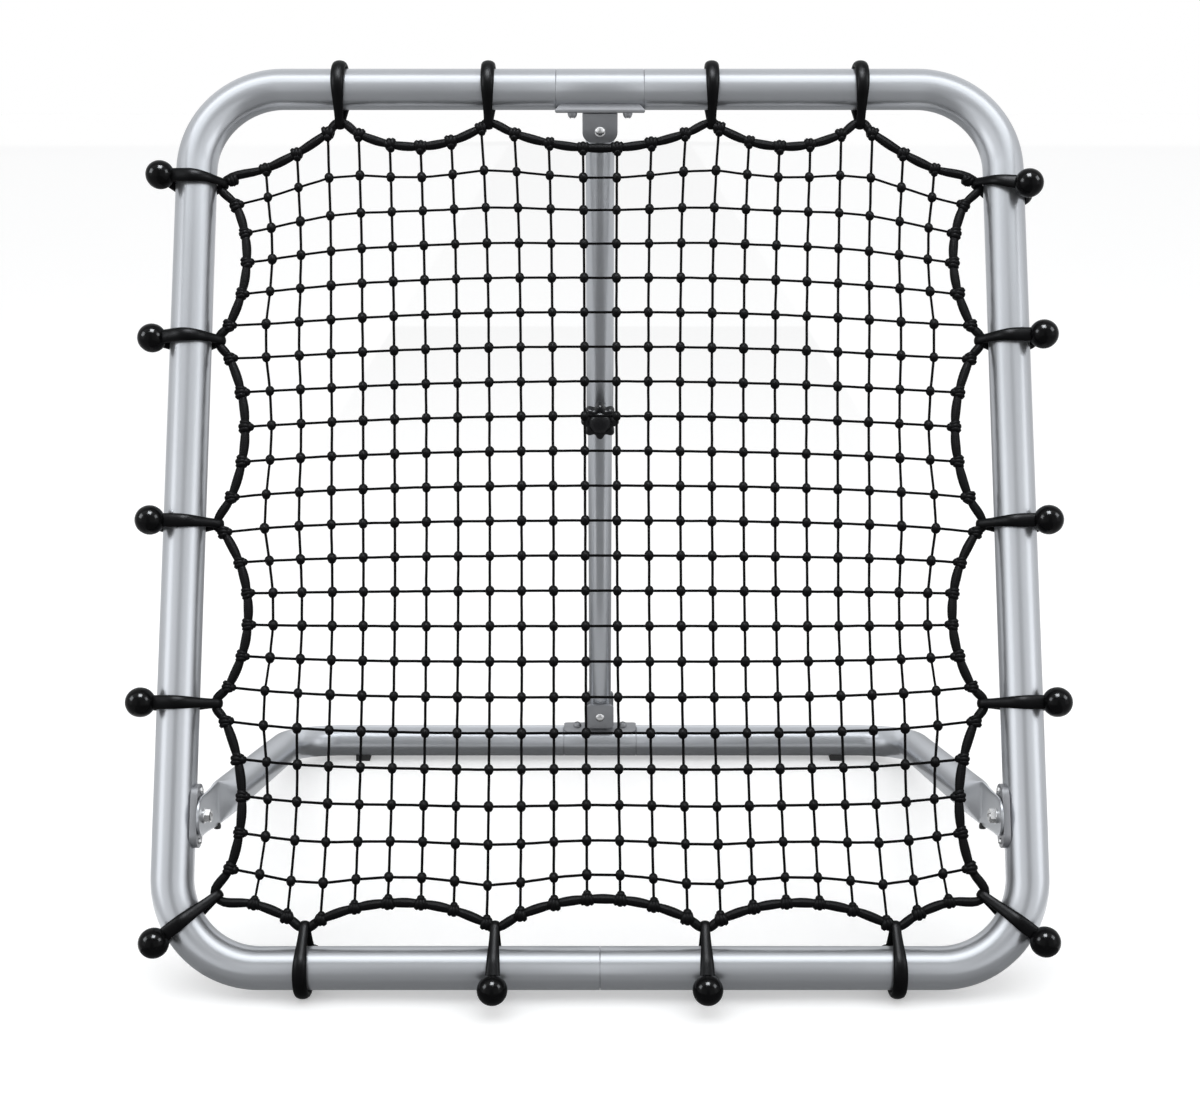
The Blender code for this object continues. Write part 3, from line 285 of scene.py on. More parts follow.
# Fineness of the round forms
TUBE_SIDES = 72
BEND_STEPS = 24
CUTTER_SIDES = 128
TURNED_SIDES = 48
STRAP_STATIONS = 84
STRAP_SIDES = 18
ROPE_SIDES = 14
ROPE_STEPS = 7
CORD_SIDES = 6
CORD_STEPS = 4

# How far and how often a cord wanders between its knots, and the seed of the knots' twists
CORD_WANDER = 1.2 * MM
CORD_WANDER_SCALE = 60.0
SCATTER_SEED = 7


def sizes():
    return bpy.context.scene.rebound_net


def frame_place():
    """The frame's plane: X across, Z up the lean, from the bottom bar's centre."""
    return placing(PIVOT - FRAME_UP * sizes().frame.pivot_rise, AXIS_X, FRAME_UP)


# Node trees

class Wire:
    """One output of a node. Sums and products of wires add Math nodes to its tree."""

    def __init__(self, desk, node, socket):
        self.desk = desk
        self.node = node
        self.socket = socket

    def __getitem__(self, name):
        return Wire(self.desk, self.node, pick(self.node.outputs, name))

    def maths(self, operation, first, second):
        return self.desk.add("ShaderNodeMath", {0: first, 1: second}, operation=operation)

    def __add__(self, other):
        return self.maths("ADD", self, other)

    def __radd__(self, other):
        return self.maths("ADD", other, self)

    def __sub__(self, other):
        return self.maths("SUBTRACT", self, other)

    def __rsub__(self, other):
        return self.maths("SUBTRACT", other, self)

    def __mul__(self, other):
        return self.maths("MULTIPLY", self, other)


def pick(sockets, key):
    """A socket by its number, its identifier or the name of one in use."""
    if isinstance(key, int):
        return sockets[key]
    for socket in sockets:
        if key == socket.identifier or (key == socket.name and socket.enabled):
            return socket
    raise KeyError(key)


class Desk:
    """Adds nodes to one shader or geometry tree."""

    def __init__(self, tree):
        self.tree = tree

    def add(self, kind, values=(), **settings):
        """Add a node with numbers or wires at its sockets and values for its settings."""
        node = self.tree.nodes.new(kind)
        for name, value in settings.items():
            setattr(node, name, value)
        for key, value in dict(values).items():
            socket = pick(node.inputs, key)
            if isinstance(value, Wire):
                self.tree.links.new(value.socket, socket)
            else:
                socket.default_value = value
        outputs = [socket for socket in node.outputs if socket.enabled]
        return Wire(self, node, outputs[0] if outputs else None)


class ShaderDesk(Desk):
    """Builds one finish on a Principled shader."""

    def __init__(self, name):
        self.material = bpy.data.materials.new(name)
        self.material.use_nodes = True
        super().__init__(self.material.node_tree)
        self.shader = self.tree.nodes["Principled BSDF"]

    def set(self, name, value):
        """Set a number or colour on the shader, or link a wire to it."""
        if isinstance(value, Wire):
            self.tree.links.new(value.socket, self.shader.inputs[name])
        else:
            self.shader.inputs[name].default_value = value

    def noise(self, scale, detail):
        """A noise between 0 and 1 in the piece's own space."""
        return self.add("ShaderNodeTexNoise", {
            "Vector": self.add("ShaderNodeTexCoord")["Object"], "Scale": scale,
            "Detail": detail})["Fac"]

    def braid(self, pitch, strands):
        """Height of a braided sheath, from the piece's own run and ring attributes."""
        run = self.add("ShaderNodeAttribute", attribute_name="run")["Fac"]
        ring = self.add("ShaderNodeAttribute", attribute_name="ring")["Vector"]
        parts = self.add("ShaderNodeSeparateXYZ", {"Vector": ring})
        angle = self.add("ShaderNodeMath", {0: parts["Y"], 1: parts["X"]}, operation="ARCTAN2")
        along = run * (math.tau / pitch)
        first = self.add("ShaderNodeMath", {0: along + angle * strands}, operation="SINE")
        second = self.add("ShaderNodeMath", {0: along - angle * strands}, operation="SINE")
        return first * second * 0.5 + 0.5


# A finish's grains are noises as (scale, detail), after the braid if it has one. Weights mix the
# grains: for the colour between two shares of the tint, for the roughness added to its least
# value, and for the height of the bump.
BRAID_PITCH = 3.2 * MM
BRAID_STRANDS = 6.0
Look = namedtuple("Look", "tint grains colour_weights shares roughness rough_weights "
                          "bump_weights bump_depth bump_strength settings braided")
LOOKS = {
    # Satin metallic lacquer with a little orange peel and an uneven gloss
    "silver_paint": Look("silver", ((9.0, 3.0), (300.0, 1.0)), (1, 0), (0.95, 1.05), 0.26,
                         (0.05, 0), (0, 1), 0.00002, 1.0, {"Metallic": 0.88}, False),
    # Bead-blasted die casting with a satin clear coat
    "grey_casting": Look("casting", ((1500.0, 2.0), (60.0, 2.0)), (0.5, 0.5), (0.82, 1.18), 0.32,
                         (0.16, 0), (1, 0), 0.00012, 0.8, {"Metallic": 0.82}, False),
    # Zinc plate, brushed by handling
    "bright_steel": Look("steel", ((900.0, 4.0),), (1,), (0.85, 1.1), 0.16, (0.14,), (1,),
                         0.00004, 1.0, {"Metallic": 1.0}, False),
    # Moulded plastic with a fine spark texture
    "black_knob": Look("knob", ((1800.0, 1.0),), (1,), (0.7, 1.6), 0.32, (0.12,), (1,), 0.0001,
                       0.7, {"Specular IOR Level": 0.16}, False),
    # Polished plastic with faint flow lines
    "black_ball": Look("ball", ((90.0, 3.0),), (1,), (0.7, 1.5), 0.12, (0.08,), (1,), 0.00003,
                       0.5, {"Specular IOR Level": 0.07}, False),
    # Moulded rubber with a satin skin and a slight bloom
    "bungee_rubber": Look("strap", ((70.0, 4.0), (2200.0, 1.0)), (1, 0), (0.7, 1.5), 0.30,
                          (0.12, 0.05), (2.0, 1), 0.00005, 0.8, {"Specular IOR Level": 0.035},
                          False),
    # Matt moulded rubber, dusty in its grain
    "foot_rubber": Look("foot", ((1400.0, 3.0),), (1,), (0.6, 1.8), 0.62, (0.2,), (1,), 0.00015,
                        1.0, {}, False),
    # Polyester braid drawn tight over its core. Its colour follows the braid's height, which also
    # bumps it, so it carries painted shade: darker in the grooves between the strands and lighter
    # on their crowns, with a random grain mixed in
    "black_rope": Look("rope", ((1600.0, 3.0),), (0.6, 0.4), (0.5, 2.0), 0.42, (0, 0.16),
                       (1, 0.5), 0.00022, 0.8, {"Specular IOR Level": 0.025}, True),
    # Twisted net cord, waxed where it is knotted
    "black_cord": Look("cord", ((1300.0, 3.0), (420.0, 1.0)), (1, 0), (0.5, 1.9), 0.38,
                       (0.22, 0), (0.6, 1), 0.0003, 0.8, {"Specular IOR Level": 0.03}, False),
}


def mixed(grains, weights, least=0.0):
    """A least value plus the weighted grains."""
    for grain, weight in zip(grains, weights):
        if weight:
            least = grain * weight + least
    return least


def finish(slot):
    """The material of one of the record's slots, made the first time it is asked for."""
    made = bpy.data.materials.get(slot + "_finish")
    if made:
        return made
    look = LOOKS[slot]
    desk = ShaderDesk(slot + "_finish")
    grains = [desk.braid(BRAID_PITCH, BRAID_STRANDS)] if look.braided else []
    grains += [desk.noise(*grain) for grain in look.grains]
    tint = getattr(sizes().finishes, look.tint)
    dark, light = ((*(min(channel * share, 1.0) for channel in tint), 1.0)
                   for share in look.shares)
    desk.set("Base Color", desk.add("ShaderNodeMix", {
        "Factor_Float": mixed(grains, look.colour_weights), "A_Color": dark, "B_Color": light},
        data_type="RGBA")["Result_Color"])
    desk.set("Roughness", mixed(grains, look.rough_weights, look.roughness))
    desk.set("Normal", desk.add("ShaderNodeBump", {
        "Height": mixed(grains, look.bump_weights), "Strength": look.bump_strength,
        "Distance": look.bump_depth}))
    for name, value in look.settings.items():
        desk.set(name, value)
    return desk.material


# Mesh tools

def place_piece(obj, slot, body, *nodes):
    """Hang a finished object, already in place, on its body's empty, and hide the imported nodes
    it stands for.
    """
    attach(obj, body)
    if nodes:
        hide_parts(*nodes)


def new_object(name, data):
    made = bpy.data.objects.new(name, data)
    bpy.context.scene.collection.objects.link(made)
    return made


def mesh_of(name, bm):
    """Turn a bmesh into a mesh, and free it."""
    bmesh.ops.recalc_face_normals(bm, faces=bm.faces)
    mesh = bpy.data.meshes.new(name)
    bm.to_mesh(mesh)
    bm.free()
    return mesh


def gathered(parts):
    """One bmesh that holds several."""
    whole = bmesh.new()
    for part in parts:
        mesh = mesh_of("part", part)
        whole.from_mesh(mesh)
        bpy.data.meshes.remove(mesh)
    return whole


def settled_mesh(obj):
    """The object's evaluated mesh, as plain data."""
    bpy.context.view_layer.update()
    depsgraph = bpy.context.evaluated_depsgraph_get()
    return bpy.data.meshes.new_from_object(obj.evaluated_get(depsgraph), depsgraph=depsgraph)


def apply_modifiers(obj):
    mesh = settled_mesh(obj)
    obj.modifiers.clear()
    obj.data = mesh


def ease_edges(obj, width, degrees):
    """Bevel the edges that are sharper than an angle."""
    modifier = obj.modifiers.new("Edges", "BEVEL")
    modifier.width = width
    modifier.segments = EDGE_SEGMENTS
    modifier.limit_method = "ANGLE"
    modifier.angle_limit = math.radians(degrees)


def smoothed(mesh, degrees):
    """Shade a mesh smooth, but for the edges that are sharper than an angle."""
    mesh.shade_smooth()
    mesh.set_sharp_from_angle(angle=math.radians(degrees))


def shaped(name, bm, slot, place=None, bevel=0.0, cutters=(), unions=(),
           smooth=PLAIN_SHARP):
    """An object from a closed bmesh in local places, joined, cut, bevelled and put in place.

    Unions and cutters are bmeshes in the same local places.
    """
    made = new_object(name, mesh_of(name, bm))
    tools = []
    for operation, parts in (("UNION", unions), ("DIFFERENCE", cutters)):
        for part in parts:
            modifier = made.modifiers.new(operation, "BOOLEAN")
            modifier.operation = operation
            modifier.solver = "EXACT"
            modifier.object = new_object(f"{name}_tool", mesh_of(f"{name}_tool", part))
            tools.append(modifier.object)
    if bevel:
        ease_edges(made, bevel, EDGE_ANGLE)
    if made.modifiers:
        apply_modifiers(made)
    for tool in tools:
        bpy.data.objects.remove(tool)
    made.data.materials.clear()
    made.data.materials.append(finish(slot))
    if place:
        made.data.transform(place)
    smoothed(made.data, smooth)
    return made


def solid(name, bm, slot, body, nodes, place, **shape):
    """A piece of one closed form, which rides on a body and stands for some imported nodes."""
    place_piece(shaped(name, bm, slot, place, **shape), slot, body, *nodes)


def skin(rings):
    """A closed bmesh over a row of rings that have equally many points."""
    bm = bmesh.new()
    rows = [[bm.verts.new(point) for point in ring] for ring in rings]
    bm.faces.new(rows[0])
    bm.faces.new(rows[-1])
    for near, far in zip(rows, rows[1:]):
        for side in range(len(near)):
            after = (side + 1) % len(near)
            bm.faces.new((near[side], near[after], far[after], far[side]))
    return bm


def full_turn(sides, shift=0.0):
    """Equal angles round a circle, shifted by a share of one step."""
    return [math.tau * (step + shift) / sides for step in range(sides)]


def part_turn(steps, turn=math.pi / 2, first=0):
    """The angles of equal steps up to a turn."""
    return [turn * step / steps for step in range(first, steps + 1)]


def oval_ring(place, across, up, half_across, half_up, squareness=1.0, sides=TUBE_SIDES):
    """A ring in the plane of two directions. A squareness under 1 flattens its broad faces."""
    return [place + across * half_across * math.copysign(abs(math.cos(angle)) ** squareness,
                                                         math.cos(angle))
            + up * half_up * math.sin(angle) for angle in full_turn(sides, 0.5)]


def turned(profile, start=Vector(), axis=AXIS_Z, sides=TURNED_SIDES, flats=()):
    """Revolve (distance, radius) pairs about an axis. The rows listed in flats are hexagons."""
    across = axis.orthogonal().normalized()
    other = axis.cross(across)
    rings = []
    for row, (distance, radius) in enumerate(profile):
        ring = []
        for angle in full_turn(sides):
            reach = radius
            if row in flats:
                reach /= math.cos(math.fmod(angle + math.pi / 6, math.pi / 3) - math.pi / 6)
            ring.append(start + axis * distance
                        + (across * math.cos(angle) + other * math.sin(angle)) * reach)
        rings.append(ring)
    return skin(rings)


def rod(start, axis, radius, near, far):
    return turned(((near, radius), (far, radius)), start, axis, CUTTER_SIDES)


def block(centre, lengths):
    bm = bmesh.new()
    bmesh.ops.create_cube(bm, size=1.0, matrix=Matrix.Translation(centre)
                          @ Matrix.Diagonal((*lengths, 1)))
    return bm


def egg(segments, rings, halves, wrap=0.0, twist=0.0, taper=0.0):
    """A sphere stretched to half sizes, with two wraps that wind round it and slimmer ends."""
    bm = bmesh.new()
    bmesh.ops.create_uvsphere(bm, u_segments=segments, v_segments=rings, radius=1.0)
    for vert in bm.verts:
        x, y, z = vert.co
        girth = 1.0 + wrap * math.cos(2 * math.atan2(x, -y) + twist * z) - taper * z ** 2
        vert.co = Vector((x * halves[0] * girth, y * halves[1] * girth, z * halves[2]))
    return bm


def plate(outline, axis, depth):
    """Extrude a closed outline along an axis."""
    return skin([[point + axis * reach for point in outline] for reach in (0.0, depth)])


def ease(share):
    """Smooth step from 0 to 1."""
    return share * share * (3 - 2 * share)


def bend_stations(corners, radius):
    """Stations (place, heading) along straight runs that are joined by round bends."""
    stations = [(corners[0], (corners[1] - corners[0]).normalized())]
    for before, corner, after in zip(corners, corners[1:], corners[2:]):
        coming = (corner - before).normalized()
        going = (after - corner).normalized()
        turn = coming.angle(going)
        inward = (going - coming * math.cos(turn)).normalized()
        centre = corner - coming * radius * math.tan(turn / 2) + inward * radius
        for angle in part_turn(BEND_STEPS, turn):
            place = centre + (coming * math.sin(angle) - inward * math.cos(angle)) * radius
            stations.append((place, coming * math.cos(angle) + inward * math.sin(angle)))
    stations.append((corners[-1], (corners[-1] - corners[-2]).normalized()))
    return stations


# Geometry Nodes trees

def node_tree(name, **inputs):
    """A Geometry Nodes tree with its inputs' titles listed by kind, and those inputs' wires."""
    tree = bpy.data.node_groups.new(name, "GeometryNodeTree")
    for kind, titles in {"Geometry": ("Geometry",), **inputs, "Material": ("Material",)}.items():
        for title in titles:
            tree.interface.new_socket(title, in_out="INPUT", socket_type=f"NodeSocket{kind}")
    tree.interface.new_socket("Geometry", in_out="OUTPUT", socket_type="NodeSocketGeometry")
    desk = Desk(tree)
    return desk, desk.add("NodeGroupInput")


def close_tree(desk, wires, geometry):
    """End a tree with Realize Instances and Set Material."""
    realized = desk.add("GeometryNodeRealizeInstances", {"Geometry": geometry})
    painted = desk.add("GeometryNodeSetMaterial", {"Geometry": realized,
                                                   "Material": wires["Material"]})
    desk.add("NodeGroupOutput", {"Geometry": painted})
    return desk.tree


def circle(desk, wires, radius):
    return desk.add("GeometryNodeCurvePrimitiveCircle", {
        "Resolution": wires["Sides"], "Radius": radius}, mode="RADIUS")


def bent_tube_tree():
    """A round tube along a poly curve whose corners are filleted."""
    desk, wires = node_tree("Bent tube", Float=("Tube Radius", "Bend Radius"),
                            Int=("Sides", "Bend Steps"))
    path = desk.add("GeometryNodeFilletCurve", {
        "Curve": wires["Geometry"], "Count": wires["Bend Steps"], "Radius": wires["Bend Radius"],
        "Limit Radius": True}, mode="POLY")
    mesh = desk.add("GeometryNodeCurveToMesh", {
        "Curve": path, "Profile Curve": circle(desk, wires, wires["Tube Radius"]),
        "Fill Caps": False})
    return close_tree(desk, wires, mesh)


def cord_tree():
    """A round cord along every edge of a lattice, with a slight wander between its knots."""
    desk, wires = node_tree("Net cords", Float=("Cord Radius", "Wander", "Wander Scale"),
                            Int=("Sides", "Steps"))
    runs = desk.add("GeometryNodeMeshToCurve", {"Mesh": wires["Geometry"]})
    fine = desk.add("GeometryNodeResampleCurve", {"Curve": runs, "Count": wires["Steps"]},
                    mode="COUNT")
    share = desk.add("GeometryNodeSplineParameter")["Factor"]
    swing = share * (1 - share) * 4.0 * wires["Wander"]
    drift = desk.add("ShaderNodeTexNoise", {"Scale": wires["Wander Scale"]})["Color"]
    centred = desk.add("ShaderNodeVectorMath", {0: drift, 1: (0.5, 0.5, 0.5)},
                       operation="SUBTRACT")
    offset = desk.add("ShaderNodeVectorMath", {0: centred, "Scale": swing}, operation="SCALE")
    loose = desk.add("GeometryNodeSetPosition", {"Geometry": fine, "Offset": offset})
    mesh = desk.add("GeometryNodeCurveToMesh", {
        "Curve": loose, "Profile Curve": circle(desk, wires, wires["Cord Radius"]),
        "Fill Caps": True})
    return close_tree(desk, wires, mesh)


def stored(desk, geometry, name, kind, value):
    """A geometry whose points carry a named attribute."""
    return desk.add("GeometryNodeStoreNamedAttribute", {
        "Geometry": geometry, "Name": name, "Value": value}, data_type=kind, domain="POINT")


def rope_tree():
    """A rope of varying girth along a curve, with the run and ring attributes of its braid."""
    desk, wires = node_tree("Border rope", Int=("Sides",))
    length = desk.add("GeometryNodeSplineParameter")["Length"]
    path = stored(desk, wires["Geometry"], "run", "FLOAT", length)
    spot = desk.add("GeometryNodeInputPosition")
    profile = stored(desk, circle(desk, wires, 1.0), "ring", "FLOAT_VECTOR", spot)
    mesh = desk.add("GeometryNodeCurveToMesh", {
        "Curve": path, "Profile Curve": profile, "Scale": desk.add("GeometryNodeInputRadius"),
        "Fill Caps": True})
    return close_tree(desk, wires, mesh)


def scatter_tree():
    """Copies of a template on points, turned by their turn attribute, with a seeded twist."""
    desk, wires = node_tree("Scatter", Object=("Template",), Float=("Twist", "Swell"),
                            Int=("Seed",))
    shape = desk.add("GeometryNodeObjectInfo", {"Object": wires["Template"]},
                     transform_space="ORIGINAL")["Geometry"]
    turn = desk.add("GeometryNodeInputNamedAttribute", {"Name": "turn"},
                    data_type="FLOAT_VECTOR")
    twist = desk.add("FunctionNodeRandomValue", {
        "Min_001": wires["Twist"] * -1.0, "Max_001": wires["Twist"], "Seed": wires["Seed"]},
        data_type="FLOAT")
    tilt = desk.add("ShaderNodeCombineXYZ", {"X": twist * 0.5, "Y": twist, "Z": twist * 0.4})
    turned_by = desk.add("FunctionNodeRotateRotation", {
        "Rotation": desk.add("FunctionNodeEulerToRotation", {"Euler": turn}),
        "Rotate By": desk.add("FunctionNodeEulerToRotation", {"Euler": tilt})},
        rotation_space="LOCAL")
    girth = desk.add("FunctionNodeRandomValue", {
        "Min_001": 1.0 - wires["Swell"], "Max_001": 1.0 + wires["Swell"],
        "Seed": wires["Seed"] + 1.0}, data_type="FLOAT")
    copies = desk.add("GeometryNodeInstanceOnPoints", {
        "Points": wires["Geometry"], "Instance": shape, "Rotation": turned_by, "Scale": girth})
    return close_tree(desk, wires, copies)


def grown(name, source, tree, slot, **values):
    """Run a tree on a source object, and leave its result as a plain mesh object."""
    modifier = source.modifiers.new(tree.name, "NODES")
    modifier.node_group = tree
    values["Material"] = finish(slot)
    for item in tree.interface.items_tree:
        if item.in_out == "INPUT" and item.name in values:
            modifier[item.identifier] = values[item.name]
    mesh = settled_mesh(source)
    source.modifiers.remove(modifier)
    bpy.data.objects.remove(source)
    mesh.name = name
    return new_object(name, mesh)


def poly_curve(name, places, radii=None, cyclic=False):
    """A curve object of one straight-sided spline."""
    data = bpy.data.curves.new(name, "CURVE")
    data.dimensions = "3D"
    spline = data.splines.new("POLY")
    spline.points.add(len(places) - 1)
    for number, (point, place) in enumerate(zip(spline.points, places)):
        point.co = (*place, 1.0)
        point.radius = radii[number] if radii else 1.0
    spline.use_cyclic_u = cyclic
    return new_object(name, data)


def marked_points(name, places, turns):
    """A mesh of loose points with their turn attribute, for the scatter tree."""
    mesh = bpy.data.meshes.new(name)
    mesh.from_pydata([tuple(place) for place in places], [], [])
    turn = mesh.attributes.new("turn", "FLOAT_VECTOR", "POINT")
    turn.data.foreach_set("vector", [angle for euler in turns for angle in euler])
    return new_object(name, mesh)


def scattered(name, template, spots, slot, body, nodes=(), twist=0.0, swell=0.0,
              smooth=COPY_SHARP):
    """Copies of a template bmesh at (place, turn matrix) spots, as one piece on one body."""
    pattern = new_object(f"{name}_template", mesh_of(f"{name}_template", template))
    smoothed(pattern.data, smooth)
    points = marked_points(f"{name}_points", [place for place, _ in spots],
                           [turn.to_3x3().to_euler() for _, turn in spots])
    tree = bpy.data.node_groups.get("Scatter") or scatter_tree()
    made = grown(name, points, tree, slot, Template=pattern, Twist=twist, Swell=swell,
                 Seed=SCATTER_SEED)
    bpy.data.objects.remove(pattern)
    place_piece(made, slot, body, *nodes)


def tube_piece(name, corners, place, outer, wall, body, *nodes, bend=0.0):
    """An open tube through corners given in a local frame, with a real wall and eased rims."""
    tree = bpy.data.node_groups.get("Bent tube") or bent_tube_tree()
    curve = poly_curve(name, [place @ corner for corner in corners])
    made = grown(name, curve, tree, "silver_paint", **{
        "Tube Radius": outer / 2, "Bend Radius": bend, "Sides": TUBE_SIDES,
        "Bend Steps": BEND_STEPS})
    shell = made.modifiers.new("Wall", "SOLIDIFY")
    shell.thickness = wall
    shell.offset = -1.0
    ease_edges(made, wall * RIM_SHARE, RIM_ANGLE)
    apply_modifiers(made)
    smoothed(made.data, PLAIN_SHARP)
    place_piece(made, "silver_paint", body, *nodes)


# The net's rest shape

Hook = namedtuple("Hook", "name key rope crossing tangent roll")


def bungee_hooks(box, net):
    """Every bungee's place in the frame's plane: its key on the rope, the rope's place, where
    its loop crosses the tube's centre, the tube's direction there, and the ball's roll."""
    half_width = box.width / 2
    hooks = []
    for number, (word, side) in enumerate(SIDES):
        def place(across, up):
            return Vector((side * across, 0, up))

        def mark(mesh):
            return mesh if side < 0 else net.columns + 1 - mesh

        for name, share, standoff, mesh, rolls in TOP_TIES:
            along = share * half_width
            hooks.append(Hook(f"{name}_{word}", ("top", mark(mesh)),
                              place(along, box.height - standoff), place(along, box.height),
                              AXIS_X, rolls[number]))
        for name, share, standoff, mesh, rolls in SIDE_TIES:
            up = share * box.height
            hooks.append(Hook(f"{name}_{word}", (word, mesh), place(half_width - standoff, up),
                              place(half_width, up), AXIS_Z, rolls[number]))
        for name, share, standoff, mesh, rolls in BOTTOM_TIES:
            along = share * half_width
            hooks.append(Hook(f"{name}_{word}", ("bottom", mark(mesh) + net.bottom_shift),
                              place(along, standoff), place(along, 0.0), AXIS_X, rolls[number]))
        inset, drop = TOP_CORNER_ROPE
        hooks.append(Hook(f"top_corner_{word}", ("top", word),
                          place(half_width - inset, box.height - drop),
                          place(half_width, box.height - TOP_CORNER_STRAP_DROPS[number]), AXIS_Z,
                          TOP_CORNER_ROLL[number]))
        inset, rise = BOTTOM_CORNER_STRAP
        crossing = place(half_width - inset, rise)
        spoke = crossing - place(half_width - box.bend, box.bend)
        inset, rise = BOTTOM_CORNER_ROPE
        hooks.append(Hook(f"bottom_corner_{word}", ("bottom", word),
                          place(half_width - inset, rise), crossing,
                          spoke.cross(AXIS_Y).normalized(), BOTTOM_CORNER_ROLL[number]))
    return hooks


def relaxed_net(hooks, net):
    """Knots and rope nodes at rest under tension, by the force density method.

    Returns the places, the rope's keys in order round the net, and the pairs that cords join.
    """
    beyond = net.columns + 1
    below = net.rows + 1
    fixed = {hook.key: hook.rope for hook in hooks}

    def edge(name, total, first, last, pull, slack=(0.0, 0.0, 0.0)):
        """One side of the rope. A slack span has two marks, from either end, and its own pull."""
        stops = [first, last]
        stops += [(key[1], key) for key in fixed if key[0] == name and not isinstance(key[1], str)]
        stops += [(number, (name, number)) for number in range(1, total + 1)]
        stops.sort(key=lambda stop: stop[0])
        slack_start, slack_end, slack_pull = slack
        links = []
        for (start, near), (end, far) in zip(stops, stops[1:]):
            middle = (start + end) / 2
            loose = slack_start < min(middle, total + 1 - middle) < slack_end
            links.append((near, far, (slack_pull if loose else pull) / (end - start)))
        return [key for _, key in stops], links

    edges = [
        edge("top", net.columns, (TOP_CORNER_COLUMN, ("top", "left")),
             (beyond - TOP_CORNER_COLUMN, ("top", "right")), net.top_pull,
             (TOP_TIES[1][3], TOP_TIES[0][3], net.slack_pull)),
        edge("right", net.rows, (TOP_CORNER_ROW, ("top", "right")),
             (BOTTOM_CORNER_ROW, ("bottom", "right")), net.side_pull),
        edge("bottom", net.columns, (BOTTOM_CORNER_COLUMN, ("bottom", "left")),
             (beyond - BOTTOM_CORNER_COLUMN, ("bottom", "right")), net.bottom_pull),
        edge("left", net.rows, (TOP_CORNER_ROW, ("top", "left")),
             (BOTTOM_CORNER_ROW, ("bottom", "left")), net.side_pull),
    ]

    def knot(column, row):
        if column in (0, beyond):
            return ("left" if column == 0 else "right", row)
        if row in (0, below):
            return ("top" if row == 0 else "bottom", column)
        return (column, row)

    cords = [(knot(column, row), knot(column + 1, row))
             for column in range(net.columns + 1) for row in range(1, net.rows + 1)]
    cords += [(knot(column, row), knot(column, row + 1))
              for column in range(1, net.columns + 1) for row in range(net.rows + 1)]
    links = [link for _, edge_links in edges for link in edge_links]
    links += [(near, far, net.last_pull if far[0] == "bottom" else 1.0) for near, far in cords]

    free = sorted({key for near, far, _ in links for key in (near, far)} - set(fixed), key=str)
    index = {key: number for number, key in enumerate(free)}
    stiffness = np.zeros((len(free), len(free)))
    load = np.zeros((len(free), 2))
    for near, far, pull in links:
        for one, other in ((near, far), (far, near)):
            if one in index:
                stiffness[index[one], index[one]] += pull
                if other in index:
                    stiffness[index[one], index[other]] -= pull
                else:
                    load[index[one]] += pull * np.array((fixed[other].x, fixed[other].z))
    solved = np.linalg.solve(stiffness, load)
    places = {key: Vector((solved[index[key]][0], 0, solved[index[key]][1])) for key in free}
    places.update(fixed)
    loop = edges[0][0] + edges[1][0][1:] + edges[2][0][::-1][1:] + edges[3][0][::-1][1:-1]
    return places, loop, cords


def net_at_rest():
    group = sizes()
    hooks = bungee_hooks(group.frame, group.net)
    places, loop, cords = relaxed_net(hooks, group.net)
    return hooks, places, loop, cords


def rope_lean(places, loop, key, direction):
    """The larger angle by which the rope's two branches at a node lean towards a direction."""
    at = loop.index(key)
    branches = [places[loop[at - 1]] - places[key],
                places[loop[(at + 1) % len(loop)]] - places[key]]
    return max(0.0, max(math.pi / 2 - direction.angle(branch) for branch in branches))


# Front frame

class REBOUND_OT_frame_tubes(bpy.types.Operator):
    """Bend the two halves of the front frame"""
    bl_idname = "rebound.frame_tubes"
    bl_label = "Frame tubes"

    def execute(self, context):
        box = sizes().frame
        place = frame_place()
        start = box.sleeve / 2 + box.seam
        half = box.width / 2
        for word, side in SIDES:
            corners = [Vector((side * start, 0, box.height)), Vector((side * half, 0, box.height)),
                       Vector((side * half, 0, 0)), Vector((side * box.seam / 2, 0, 0))]
            tube_piece(f"frame_tube_{word}", corners, place, box.tube, box.wall, "front_frame",
                       f"frame_{word}_half", bend=box.bend)
        swage = box.tube - (box.wall + box.seam) * 2
        tube_piece("frame_swage", [AXIS_X * box.wall, AXIS_X * -box.insert], place, swage,
                   box.wall, "front_frame")
        return {"FINISHED"}


def saddle_face(box):
    """How far from the middle the saddle brackets' faces stand."""
    return box.width / 2 - box.tube / 2 - box.seam - box.saddle_thickness


def saddle_outline(box):
    """A stadium in the YZ plane."""
    radius = box.saddle_width / 2
    run = box.saddle_length / 2 - radius
    steps = 16
    half = [Vector((0, radius * math.sin(angle), run + radius * math.cos(angle)))
            for angle in part_turn(steps, first=-steps)]
    return half + [Vector((0, -point.y, -point.z)) for point in half]


def cross_head(radius, height, shank, depth):
    """A domed screw head on the plane z = 0 with a cross recess, and its shank below."""
    rim = 0.12
    dome = [(-depth, shank), (0.0, shank), (0.0, radius), (height * rim, radius)]
    for angle in part_turn(5, first=1)[:-1]:
        dome.append((height * (rim + (1 - rim) * math.sin(angle)), radius * math.cos(angle)))
    narrow, wide, deep = radius * 0.56, radius * 1.24, height * 0.7
    made = shaped("screw_pattern", turned(dome, sides=24), "bright_steel", cutters=(
        block((0, 0, height), (narrow, wide, deep)), block((0, 0, height), (wide, narrow, deep))))
    pattern = bmesh.new()
    pattern.from_mesh(made.data)
    bpy.data.objects.remove(made)
    return pattern


